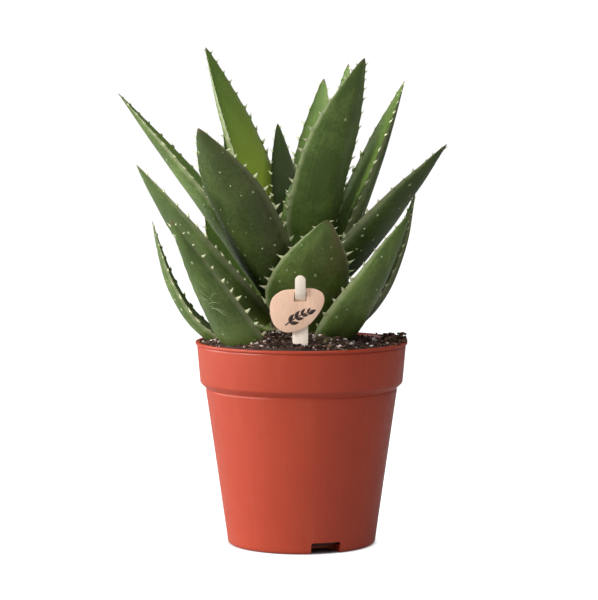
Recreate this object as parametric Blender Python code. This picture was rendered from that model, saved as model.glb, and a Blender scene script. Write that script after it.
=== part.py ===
"""A potted aloe: plastic nursery pot, soil, short stem, toothed leaves and a wooden plant label.

All sizes are in metres. The pot stands on Z = 0 with its axis on Z, and its front faces -Y.
"""

import math
from typing import NamedTuple

import bmesh
import bpy
from mathutils import Matrix, Vector

MM = 0.001

# Every piece that touches another keeps this gap to it.
GAP = 0.3 * MM
# A cutter runs this far past the wall that it cuts.
CUT_PAST = 2.0 * MM

# Pot: outer sizes. Its width is set at the rim, and the wall steps and tapers in from there.
POT_HEIGHT = 80.0 * MM
POT_WALL = 1.2 * MM
POT_TURNS = 72
FOOT_ROUND = 3.0 * MM
FOOT_RING = 4.0 * MM
FOOT_RECESS = 1.5 * MM
# A moulded pad under the middle of the floor stands in the plane of the foot ring.
FOOT_PAD_RADIUS = 8.0 * MM
BAND_HEIGHT = 18.2 * MM
SHOULDER_RISE = 2.0 * MM
SHOULDER_STEP = 2.1 * MM
BAND_FLARE = 1.3 * MM
BAND_TOP_RADIUS = 41.1 * MM
LIP_PROUD = 0.6 * MM
LIP_HEIGHT = 1.4 * MM
WALL_TAPER = 8.45 * MM
# Sizes that follow from them.
SHOULDER_HEIGHT = POT_HEIGHT - BAND_HEIGHT
BAND_FOOT_RADIUS = BAND_TOP_RADIUS - BAND_FLARE
SHOULDER_RADIUS = BAND_FOOT_RADIUS - SHOULDER_STEP
FOOT_RADIUS = SHOULDER_RADIUS - WALL_TAPER
LIP_RADIUS = BAND_TOP_RADIUS + LIP_PROUD

# Drain notches through the foot of the pot.
NOTCH_COUNT = 3
NOTCH_WIDTH = 12.0 * MM
NOTCH_HEIGHT = 4.5 * MM
NOTCH_DEPTH = 8.0 * MM
NOTCH_AZIMUTH = math.radians(-71.0)

# Soil: how far its surface lies under the rim at the wall, and how far it is heaped at the stem.
SOIL_BELOW_RIM = 3.0 * MM
SOIL_HEAP = 2.5 * MM
SOIL_TURNS = 48
# Soil stands back this far from the leaf bases buried in it.
SOIL_CLEARANCE = 0.5 * MM

# Stem.
STEM_X = -3.0 * MM
STEM_RADIUS = 9.5 * MM
STEM_SHOULDER_RADIUS = 7.5 * MM
STEM_TOP_RADIUS = 3.5 * MM
STEM_ROOT_DEPTH = 24.0 * MM
STEM_SHOULDER_OVER_RIM = 34.0 * MM
STEM_HEIGHT_OVER_RIM = 42.0 * MM
STEM_TURNS = 24

# Leaf section and outline, shared by every leaf.
LEAF_STATIONS = 13
STATION_CROWDING = 1.25
UNDERSIDE_POINTS = 5
UPPER_POINTS = 3
UNDERSIDE_FULLNESS = 0.8
CHANNEL_SHARE = 0.3
NECK_WIDENS_OVER = 0.35
THICKNESS_TAPER = 0.7

# Label: a thin wooden stick whose tongue passes through a slot in a wooden tag.
STICK_WIDTH = 5.9 * MM
TONGUE_WIDTH = 4.0 * MM
STICK_THICKNESS = 0.9 * MM
STICK_INSIDE_RIM = 4.6 * MM
STICK_Y = STICK_INSIDE_RIM - BAND_TOP_RADIUS
STICK_X = -0.5 * MM
LABEL_LEAN = math.radians(8.0)
STICK_DEPTH_IN_SOIL = 34.0 * MM
STICK_POINT = 6.0 * MM
STICK_POINT_SHARE = 0.3
TONGUE_TOP = POT_HEIGHT + 29.5 * MM
TAG_THICKNESS = 1.0 * MM
TAG_CENTRE_HEIGHT = POT_HEIGHT + 15.6 * MM
TAG_CENTRE_X = -1.6 * MM
SLOT_CENTRE_HEIGHT = POT_HEIGHT + 21.0 * MM
SLOT_HEIGHT = 3.6 * MM
# The tongue starts this far under the slot, narrows over the second length, and steps through the
# slot over this share of the slot's height.
TONGUE_UNDER_SLOT = 3.0 * MM
TONGUE_SHOULDER = 1.0 * MM
TONGUE_STEP_SHARE = 0.9


class Leaf(NamedTuple):
    """One leaf: sizes in millimetres, angles in degrees.

    azimuth is where it points, seen from above, from +X towards +Y; base is its height above the
    pot's rim at the stem; rise_base and rise_tip are its slopes above the horizontal; flat is the
    share of its length that keeps the first slope and turn the share over which it changes; roll
    turns its upper face round its own line; neck is the share of its width at the stem and taper
    the share of its length that narrows to the tip.
    """

    name: str
    azimuth: float
    base: float
    length: float
    width: float
    thickness: float
    rise_base: float
    rise_tip: float
    flat: float = 0.0
    turn: float = 1.0
    roll: float = 0.0
    neck: float = 0.5
    taper: float = 0.55


LEAVES = (
    Leaf("leaf_low_left", 178, -1.7, 73.4, 18, 5, 7, 71.7, 0.13, 0.78, 0, 0.4, 0.8),
    Leaf("leaf_low_front_left", 230, -8, 86, 24, 7, 18, 49, 0.08, 0.3, 0, 0.4, 0.9),
    Leaf("leaf_low_front", 286, 4, 59, 33, 7, 74, 41, 0.0, 1.0, 0, 0.4, 0.7),
    Leaf("leaf_low_front_right", 322, -8, 76, 27, 8, 54, 52, 0.1, 0.3, 0, 0.45, 0.85),
    Leaf("leaf_low_right", 18, 0, 73, 18, 5, 28, 72, 0.1, 0.9, 0, 0.35, 0.7),
    Leaf("leaf_low_back_right", 76, 4, 72, 21, 6, 15, 50, 0.15, 0.4, 0, 0.3, 0.6),
    Leaf("leaf_low_back_left", 126, 4, 72, 21, 6, 15, 52, 0.15, 0.4, 0, 0.3, 0.6),
    Leaf("leaf_middle_front_left", 203, 10, 82, 27, 8, 41, 50, 0.0, 1.0, 0, 0.3, 0.5),
    Leaf("leaf_middle_front_right", 331, 17, 84, 25, 8, 56, 42, 0.0, 1.0, 0, 0.3, 0.65),
    Leaf("leaf_middle_left", 174, 20, 99, 23, 8, 65, 45, 0.0, 1.0, 0, 0.4, 0.65),
    Leaf("leaf_tall_front_left", 237, 17, 88, 27, 9, 65, 43, 0.0, 1.0, 0, 0.45, 0.45),
    Leaf("leaf_middle_right", 17, 21, 89, 22, 8, 70, 63, 0.0, 1.0, 0, 0.4, 0.55),
    Leaf("leaf_middle_back_right", 56, 13, 66, 18, 7, 38, 55, 0.0, 1.0, 0, 0.35, 0.6),
    Leaf("leaf_middle_back", 96, 9.5, 74, 17, 7, 30, 55, 0.0, 1.0, 0, 0.3, 0.6),
    Leaf("leaf_middle_back_left", 122, 16, 80, 19, 7, 60, 54, 0.0, 1.0, 0, 0.35, 0.6),
    Leaf("leaf_tall_right", 311, 26, 92, 26, 9, 93, 57, 0.0, 1.0, 0, 0.55, 0.5),
    Leaf("leaf_tall_left", 144, 30, 93, 21, 8, 82, 60, 0.0, 1.0, 0, 0.35, 0.55),
    Leaf("leaf_inner_back_right", 36.5, 31, 80, 18, 7, 75, 77, 0.0, 1.0, 0, 0.33, 0.55),
    Leaf("leaf_inner_back", 72.5, 23, 86, 18, 7, 71, 67, 0.0, 1.0, 0, 0.33, 0.55),
    Leaf("leaf_slender_back", 112, 40, 47, 11, 4, 78, 71, 0.0, 1.0, 0, 0.5, 0.6),
    Leaf("heart_leaf_front", 262, 38, 24, 8, 4, 84, 86, 0.0, 1.0, 0, 0.5, 0.7),
    Leaf("heart_leaf_right", 10, 39, 22, 7, 4, 84, 86, 0.0, 1.0, 0, 0.5, 0.7),
)

# Tag outline round its centre, in millimetres, clockwise from its right side.
TAG_OUTLINE = (
    (10.2, 4.3),
    (9.0, 0.6),
    (6.4, -3.2),
    (3.7, -5.8),
    (-0.3, -7.6),
    (-3.4, -8.3),
    (-6.6, -7.4),
    (-9.4, -4.3),
    (-10.4, 1.0),
    (-9.3, 5.0),
    (-5.7, 7.7),
    (-1.4, 8.3),
    (3.0, 8.6),
    (6.4, 8.5),
    (9.3, 7.0),
)
TAG_SMOOTHING = 3

TERRACOTTA = (0.45, 0.09, 0.045, 1.0)
SOIL_BROWN = (0.045, 0.025, 0.018, 1.0)
STEM_GREEN = (0.16, 0.20, 0.06, 1.0)
LEAF_GREEN = (0.075, 0.16, 0.045, 1.0)
LIGHT_WOOD = (0.80, 0.56, 0.42, 1.0)


def clear_scene():
    """Removes whatever the scene holds."""
    for old in list(bpy.data.objects):
        bpy.data.objects.remove(old, do_unlink=True)


def plain_material(name, colour, roughness):
    """A Principled material of one colour."""
    material = bpy.data.materials.new(name)
    material.use_nodes = True
    shader = material.node_tree.nodes["Principled BSDF"]
    shader.inputs["Base Color"].default_value = colour
    shader.inputs["Roughness"].default_value = roughness
    shader.inputs["Metallic"].default_value = 0.0
    return material


def add_object(name, shape, material, smooth_angle=math.radians(40)):
    """Turns a bmesh into a named object with its material."""
    bmesh.ops.recalc_face_normals(shape, faces=shape.faces)
    mesh = bpy.data.meshes.new(name)
    shape.to_mesh(mesh)
    shape.free()
    mesh.shade_smooth()
    mesh.set_sharp_from_angle(angle=smooth_angle)
    mesh.materials.append(material)
    piece = bpy.data.objects.new(name, mesh)
    bpy.context.scene.collection.objects.link(piece)
    return piece


def turned(profile, turns, centre_x=0.0):
    """Spins a profile of (radius, height) points round the vertical axis into a closed solid."""
    shape = bmesh.new()
    line = [shape.verts.new((radius, 0.0, height)) for radius, height in profile]
    edges = [shape.edges.new(pair) for pair in zip(line, line[1:])]
    if profile[0][0] > 0:
        edges.append(shape.edges.new((line[-1], line[0])))
    bmesh.ops.spin(
        shape,
        geom=line + edges,
        cent=(0.0, 0.0, 0.0),
        axis=(0.0, 0.0, 1.0),
        angle=2 * math.pi,
        steps=turns,
        use_merge=True,
    )
    bmesh.ops.remove_doubles(shape, verts=shape.verts, dist=0.001 * MM)
    bmesh.ops.translate(shape, verts=shape.verts, vec=(centre_x, 0.0, 0.0))
    return shape


def cut_away(piece, name, shape):
    """Cuts a closed shape out of a piece, and leaves the cutter out of the render."""
    cutter = add_object(name, shape, piece.data.materials[0])
    cutter.hide_render = True
    cutter.display_type = "WIRE"
    cut = piece.modifiers.new(name, "BOOLEAN")
    cut.operation = "DIFFERENCE"
    cut.solver = "EXACT"
    cut.object = cutter


def box_shape(low, high):
    """A box between two corners."""
    shape = bmesh.new()
    bmesh.ops.create_cube(shape, size=1.0)
    size = Vector(high) - Vector(low)
    bmesh.ops.scale(shape, verts=shape.verts, vec=size)
    bmesh.ops.translate(shape, verts=shape.verts, vec=Vector(low) + size / 2)
    return shape


def arc_points(centre, radius, start, end, steps):
    """Points of an arc in the profile plane, both ends included."""
    points = []
    for step in range(steps + 1):
        angle = start + (end - start) * step / steps
        points.append(
            (centre[0] + radius * math.cos(angle), centre[1] + radius * math.sin(angle))
        )
    return points


def wall_radius(height):
    """Outer radius of the pot's wall at a height, without the lip."""
    if height <= SHOULDER_HEIGHT:
        share = (height - FOOT_ROUND) / (SHOULDER_HEIGHT - FOOT_ROUND)
        return FOOT_RADIUS + max(share, 0.0) * (SHOULDER_RADIUS - FOOT_RADIUS)
    band_foot = SHOULDER_HEIGHT + SHOULDER_RISE
    if height < band_foot:
        share = (height - SHOULDER_HEIGHT) / SHOULDER_RISE
        return SHOULDER_RADIUS + share * (BAND_FOOT_RADIUS - SHOULDER_RADIUS)
    share = (height - band_foot) / (POT_HEIGHT - band_foot)
    return BAND_FOOT_RADIUS + share * (BAND_TOP_RADIUS - BAND_FOOT_RADIUS)


def floor_top():
    """Height of the pot's inner floor."""
    return FOOT_RECESS + POT_WALL


def pot_profile():
    """The pot's wall and floor, up the outside and down the inside."""
    ring_inner = FOOT_RADIUS - FOOT_ROUND - FOOT_RING
    lip_foot = POT_HEIGHT - LIP_HEIGHT
    lip_round = 0.4 * LIP_HEIGHT
    band_foot = SHOULDER_HEIGHT + SHOULDER_RISE
    profile = [
        (0.0, 0.0),
        (FOOT_PAD_RADIUS, 0.0),
        (FOOT_PAD_RADIUS + FOOT_RECESS, FOOT_RECESS),
        (ring_inner - FOOT_RECESS, FOOT_RECESS),
        (ring_inner, 0.0),
    ]
    profile += arc_points(
        (FOOT_RADIUS - FOOT_ROUND, FOOT_ROUND), FOOT_ROUND, -math.pi / 2, 0.0, 4
    )
    profile += [
        (SHOULDER_RADIUS, SHOULDER_HEIGHT),
        (BAND_FOOT_RADIUS, band_foot),
        (wall_radius(lip_foot), lip_foot),
        (LIP_RADIUS, lip_foot + lip_round / 2),
        (LIP_RADIUS, POT_HEIGHT - lip_round),
        (LIP_RADIUS - lip_round, POT_HEIGHT),
        (BAND_TOP_RADIUS - POT_WALL + lip_round / 2, POT_HEIGHT),
        (BAND_TOP_RADIUS - POT_WALL, POT_HEIGHT - lip_round),
        (wall_radius(band_foot) - POT_WALL, band_foot + POT_WALL / 2),
        (SHOULDER_RADIUS - POT_WALL, SHOULDER_HEIGHT + POT_WALL / 2),
    ]
    inner_round = FOOT_ROUND - POT_WALL
    profile += arc_points(
        (wall_radius(floor_top() + inner_round) - POT_WALL - inner_round, floor_top() + inner_round),
        inner_round,
        0.0,
        -math.pi / 2,
        3,
    )
    profile.append((0.0, floor_top()))
    return profile


def make_pot():
    """Tapered pot with a stepped rim band, a lip and drain notches through its foot."""
    pot = add_object("pot", turned(pot_profile(), POT_TURNS), plain_material("pot", TERRACOTTA, 0.45))
    for index in range(NOTCH_COUNT):
        notch = box_shape(
            (FOOT_RADIUS - NOTCH_DEPTH, -NOTCH_WIDTH / 2, -CUT_PAST),
            (FOOT_RADIUS + CUT_PAST, NOTCH_WIDTH / 2, NOTCH_HEIGHT),
        )
        azimuth = NOTCH_AZIMUTH + 2 * math.pi * index / NOTCH_COUNT
        bmesh.ops.rotate(notch, verts=notch.verts, matrix=Matrix.Rotation(azimuth, 3, "Z"))
        cut_away(pot, f"notch_cutter_{index + 1}", notch)
    return pot


def soil_edge_height():
    """Height of the soil's surface where it meets the pot's wall."""
    return POT_HEIGHT - SOIL_BELOW_RIM


def soil_height(distance):
    """Height of the soil's surface at a distance from the pot's axis."""
    share = min(distance / (wall_radius(soil_edge_height()) - POT_WALL), 1.0)
    return soil_edge_height() + SOIL_HEAP * math.cos(share * math.pi / 2)


def soil_profile():
    """The root ball, a gap inside the pot's wall, heaped at the stem."""
    inner = POT_WALL + GAP
    foot = floor_top() + GAP
    band_foot = SHOULDER_HEIGHT + SHOULDER_RISE + POT_WALL / 2 + GAP
    edge = soil_edge_height()
    corner = FOOT_ROUND - POT_WALL
    profile = [
        (0.0, foot),
        (wall_radius(foot) - inner - corner, foot),
        (wall_radius(foot + corner) - inner, foot + corner),
        (SHOULDER_RADIUS - inner, SHOULDER_HEIGHT + POT_WALL / 2 + GAP),
        (wall_radius(band_foot) - inner, band_foot + GAP),
        (wall_radius(edge) - inner, edge),
    ]
    for share in (0.8, 0.6, 0.4, 0.2):
        distance = share * (wall_radius(edge) - inner)
        profile.append((distance, soil_height(distance)))
    profile.append((0.0, soil_height(0.0)))
    return profile


def make_soil():
    """Soil with a socket for the stem and a slit for the label's stick."""
    soil = add_object("soil", turned(soil_profile(), SOIL_TURNS), plain_material("soil", SOIL_BROWN, 0.95))
    socket_foot = soil_edge_height() - STEM_ROOT_DEPTH - GAP
    socket = turned(
        [
            (0.0, socket_foot),
            (STEM_RADIUS + GAP, socket_foot),
            (STEM_RADIUS + GAP, POT_HEIGHT + SOIL_HEAP + CUT_PAST),
            (0.0, POT_HEIGHT + SOIL_HEAP + CUT_PAST),
        ],
        STEM_TURNS,
        STEM_X,
    )
    cut_away(soil, "stem_socket_cutter", socket)
    half_width = STICK_WIDTH / 2 + GAP
    half_thickness = STICK_THICKNESS / 2 + GAP
    slit = box_shape(
        (STICK_X - half_width, STICK_Y - half_thickness, stick_foot() - GAP),
        (STICK_X + half_width, STICK_Y + half_thickness, POT_HEIGHT + CUT_PAST),
    )
    lean_label(slit)
    cut_away(soil, "label_slit_cutter", slit)
    for leaf in LEAVES:
        if leaf.base < leaf.thickness:
            cut_away(soil, leaf.name + "_cutter", leaf_shape(leaf, SOIL_CLEARANCE))
    return soil


def stem_profile():
    """(radius, height) points up the stem, from the soil to its rounded top."""
    top = POT_HEIGHT + STEM_HEIGHT_OVER_RIM
    return [
        (STEM_RADIUS, POT_HEIGHT + SOIL_HEAP),
        (STEM_SHOULDER_RADIUS, POT_HEIGHT + STEM_SHOULDER_OVER_RIM),
        (STEM_TOP_RADIUS, top - STEM_TOP_RADIUS / 2),
        (STEM_TOP_RADIUS / 2, top),
    ]


def make_stem():
    """Short stem that carries the leaves, rooted in the soil."""
    foot = soil_edge_height() - STEM_ROOT_DEPTH
    profile = [(0.0, foot), (STEM_RADIUS, foot)] + stem_profile()
    profile.append((0.0, POT_HEIGHT + STEM_HEIGHT_OVER_RIM))
    return add_object("stem", turned(profile, STEM_TURNS, STEM_X), plain_material("stem", STEM_GREEN, 0.7))


def stem_radius(height):
    """Radius of the stem at a height."""
    points = stem_profile()
    for (low_radius, low), (high_radius, high) in zip(points, points[1:]):
        if height < high:
            share = max(height - low, 0.0) / (high - low)
            return low_radius + share * (high_radius - low_radius)
    return points[-1][0]


def quarter_sine(share):
    """Rises from 0 to 1 like the first quarter of a sine wave, then stays."""
    return math.sin(math.pi / 2 * min(max(share, 0.0), 1.0))


def leaf_frames(leaf):
    """The leaf's line as (share, place, side, face) at each station, from its base to its tip."""
    azimuth = math.radians(leaf.azimuth)
    height = POT_HEIGHT + leaf.base * MM
    slope = math.radians(leaf.rise_base)
    start = stem_radius(height) + GAP
    place = Vector(
        (STEM_X + start * math.cos(azimuth), start * math.sin(azimuth), height)
    )
    frames = []
    last = 0.0
    for station in range(LEAF_STATIONS + 1):
        share = 1 - (1 - station / LEAF_STATIONS) ** STATION_CROWDING
        middle = (last + share) / 2
        step = share - last
        turned_share = min(max(middle - leaf.flat, 0.0) / leaf.turn, 1.0)
        ease = 1 - (1 - turned_share) ** 2
        slope = math.radians(leaf.rise_base + ease * (leaf.rise_tip - leaf.rise_base))
        level = math.cos(slope)
        along = Vector((level * math.cos(azimuth), level * math.sin(azimuth), math.sin(slope)))
        place = place + along * step * leaf.length * MM
        side = Vector((-math.sin(azimuth), math.cos(azimuth), 0.0))
        side.rotate(Matrix.Rotation(math.radians(leaf.roll), 3, along))
        frames.append((share, place.copy(), side, along.cross(side)))
        last = share
    return frames


def leaf_section(leaf, share, grow=0.0):
    """The outline across a leaf at a share of its length, as (sideways, up) points, grown by grow."""
    to_tip = 1 - share
    base = leaf.neck + (1 - leaf.neck) * quarter_sine(share / NECK_WIDENS_OVER)
    half_width = leaf.width * MM / 2 * base * quarter_sine(to_tip / leaf.taper) + grow
    depth = leaf.thickness * MM * quarter_sine(to_tip / THICKNESS_TAPER) * (0.5 + base / 2)
    channel = CHANNEL_SHARE * depth * share - grow
    depth += grow
    points = [(-half_width, 0.0)]
    for index in range(1, UNDERSIDE_POINTS + 1):
        angle = math.pi * index / (UNDERSIDE_POINTS + 1)
        points.append(
            (-half_width * math.cos(angle), -depth * math.sin(angle) ** UNDERSIDE_FULLNESS)
        )
    points.append((half_width, 0.0))
    for index in range(1, UPPER_POINTS + 1):
        angle = math.pi * index / (UPPER_POINTS + 1)
        points.append((half_width * math.cos(angle), -channel * math.sin(angle)))
    return points


def leaf_shape(leaf, grow=0.0):
    """Lofts a leaf's sections along its line and closes it at the base and the tip.

    A grown leaf, which cuts its own place out of the soil, also starts nearer the stem.
    """
    shape = bmesh.new()
    rings = []
    frames = leaf_frames(leaf)
    for share, place, side, face in frames[:-1]:
        if share == 0.0:
            place = place - side.cross(face) * 2 * grow
        ring = [
            shape.verts.new(place + side * across + face * up)
            for across, up in leaf_section(leaf, share, grow)
        ]
        rings.append(ring)
    for lower, upper in zip(rings, rings[1:]):
        for index in range(len(lower)):
            after = (index + 1) % len(lower)
            shape.faces.new((lower[index], lower[after], upper[after], upper[index]))
    tip = shape.verts.new(frames[-1][1])
    for index, vertex in enumerate(rings[-1]):
        shape.faces.new((vertex, rings[-1][(index + 1) % len(rings[-1])], tip))
    shape.faces.new(rings[0])
    return shape


def make_leaves():
    """All leaves, each its own object."""
    material = plain_material("leaf", LEAF_GREEN, 0.4)
    for leaf in LEAVES:
        add_object(leaf.name, leaf_shape(leaf), material)


def lean_label(shape):
    """Tips a label piece forward about the line where the stick leaves the soil."""
    pivot = Vector((STICK_X, STICK_Y, soil_edge_height()))
    bmesh.ops.rotate(
        shape, verts=shape.verts, cent=pivot, matrix=Matrix.Rotation(LABEL_LEAN, 3, "X")
    )


def stick_foot():
    """Height of the stick's point in the soil."""
    return soil_edge_height() - STICK_DEPTH_IN_SOIL


def stick_stations():
    """(height, half width, set-forward share) up the stick, from its point to its round top."""
    half = STICK_WIDTH / 2
    tongue = TONGUE_WIDTH / 2
    slot_foot = SLOT_CENTRE_HEIGHT - SLOT_HEIGHT / 2
    stations = [
        (stick_foot(), STICK_POINT_SHARE * half, 0.0),
        (stick_foot() + STICK_POINT, half, 0.0),
        (slot_foot - TONGUE_UNDER_SLOT - TONGUE_SHOULDER, half, 0.0),
        (slot_foot - TONGUE_UNDER_SLOT, tongue, 0.0),
        (slot_foot, tongue, 0.0),
    ]
    for share in (0.25, 0.5, 0.75, 1.0):
        stations.append((slot_foot + share * SLOT_HEIGHT * TONGUE_STEP_SHARE, tongue, share))
    for angle in (0, 30, 60, 80):
        turn = math.radians(angle)
        height = TONGUE_TOP - tongue + tongue * math.sin(turn)
        stations.append((height, tongue * math.cos(turn), 1.0))
    return stations


def tag_y():
    """The tag's middle plane: in front of the stick, behind the tongue."""
    return STICK_Y - STICK_THICKNESS / 2 - GAP - TAG_THICKNESS / 2


def make_label_stick():
    """Flat wooden stick with a point below and a tongue that steps forward through the tag."""
    shape = bmesh.new()
    step_forward = 2 * (STICK_Y - tag_y())
    rings = []
    for height, half_width, forward in stick_stations():
        middle = STICK_Y - forward * step_forward
        ring = []
        for x, y in ((-1, -1), (1, -1), (1, 1), (-1, 1)):
            place = (STICK_X + x * half_width, middle + y * STICK_THICKNESS / 2, height)
            ring.append(shape.verts.new(place))
        rings.append(ring)
    for lower, upper in zip(rings, rings[1:]):
        for index in range(4):
            after = (index + 1) % 4
            shape.faces.new((lower[index], lower[after], upper[after], upper[index]))
    shape.faces.new(rings[0])
    shape.faces.new(rings[-1])
    lean_label(shape)
    return add_object("label_stick", shape, plain_material("label_stick", LIGHT_WOOD, 0.6))


def smooth_outline(points, steps):
    """Closed Catmull-Rom curve through the points."""
    smooth = []
    count = len(points)
    for index in range(count):
        before, start, end, after = (points[(index + shift) % count] for shift in (-1, 0, 1, 2))
        for step in range(steps):
            t = step / steps
            smooth.append(
                tuple(
                    0.5
                    * (
                        2 * b
                        + (c - a) * t
                        + (2 * a - 5 * b + 4 * c - d) * t * t
                        + (3 * b - a - 3 * c + d) * t * t * t
                    )
                    for a, b, c, d in zip(before, start, end, after)
                )
            )
    return smooth


def make_label_tag():
    """Thin pebble-shaped wooden tag with a slot for the stick's tongue."""
    shape = bmesh.new()
    outline = smooth_outline(TAG_OUTLINE, TAG_SMOOTHING)
    back = tag_y() + TAG_THICKNESS / 2
    ring = [
        shape.verts.new((TAG_CENTRE_X + x * MM, back, TAG_CENTRE_HEIGHT + z * MM))
        for x, z in outline
    ]
    plate = shape.faces.new(ring)
    grown = bmesh.ops.extrude_face_region(shape, geom=[plate])
    front = [item for item in grown["geom"] if isinstance(item, bmesh.types.BMVert)]
    bmesh.ops.translate(shape, verts=front, vec=(0.0, -TAG_THICKNESS, 0.0))
    lean_label(shape)
    tag = add_object("label_tag", shape, plain_material("label_tag", LIGHT_WOOD, 0.6))
    half_width = TONGUE_WIDTH / 2 + GAP
    slot = box_shape(
        (STICK_X - half_width, back - TAG_THICKNESS - CUT_PAST, SLOT_CENTRE_HEIGHT - SLOT_HEIGHT / 2),
        (STICK_X + half_width, back + CUT_PAST, SLOT_CENTRE_HEIGHT + SLOT_HEIGHT / 2),
    )
    lean_label(slot)
    cut_away(tag, "tag_slot_cutter", slot)
    return tag


def main():
    """Builds the potted aloe."""
    clear_scene()
    make_pot()
    make_soil()
    make_stem()
    make_leaves()
    make_label_stick()
    make_label_tag()


main()
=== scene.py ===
"""Looks of the potted aloe: pot, soil, stem, toothed leaves and wooden plant label.

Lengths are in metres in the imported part's own frame: the pot stands on Z = 0 with its axis on Z,
and its front faces -Y. Leaf sizes are given in millimetres and degrees.
"""

import logging
import math
import random
from dataclasses import dataclass, field
from enum import Enum
from typing import Dict, List, Optional, Sequence, Tuple

import bmesh
import bpy
from mathutils import Matrix, Vector, noise


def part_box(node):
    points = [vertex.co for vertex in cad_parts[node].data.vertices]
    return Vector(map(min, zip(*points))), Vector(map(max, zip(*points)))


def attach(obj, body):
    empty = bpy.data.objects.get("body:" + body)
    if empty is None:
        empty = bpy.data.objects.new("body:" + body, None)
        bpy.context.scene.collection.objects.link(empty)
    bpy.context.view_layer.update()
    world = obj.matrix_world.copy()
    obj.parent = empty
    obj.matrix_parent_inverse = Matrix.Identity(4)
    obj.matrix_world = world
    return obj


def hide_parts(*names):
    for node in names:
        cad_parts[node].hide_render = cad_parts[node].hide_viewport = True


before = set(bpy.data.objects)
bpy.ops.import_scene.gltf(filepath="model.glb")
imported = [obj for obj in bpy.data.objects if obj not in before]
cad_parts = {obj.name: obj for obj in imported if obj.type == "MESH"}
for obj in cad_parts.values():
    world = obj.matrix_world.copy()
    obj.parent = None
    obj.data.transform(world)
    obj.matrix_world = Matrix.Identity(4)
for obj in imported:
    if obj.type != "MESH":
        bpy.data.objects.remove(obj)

MM = 0.001
BODY = "root"
WELD = 0.002 * MM
LOG = logging.getLogger("potted_aloe")

Colour = Tuple[float, float, float]
Point = Tuple[float, float]
Ring = List[bmesh.types.BMVert]


# ----------------------------------------------------------------------------------------------
# Node helpers and shared shader groups
# ----------------------------------------------------------------------------------------------


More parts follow.
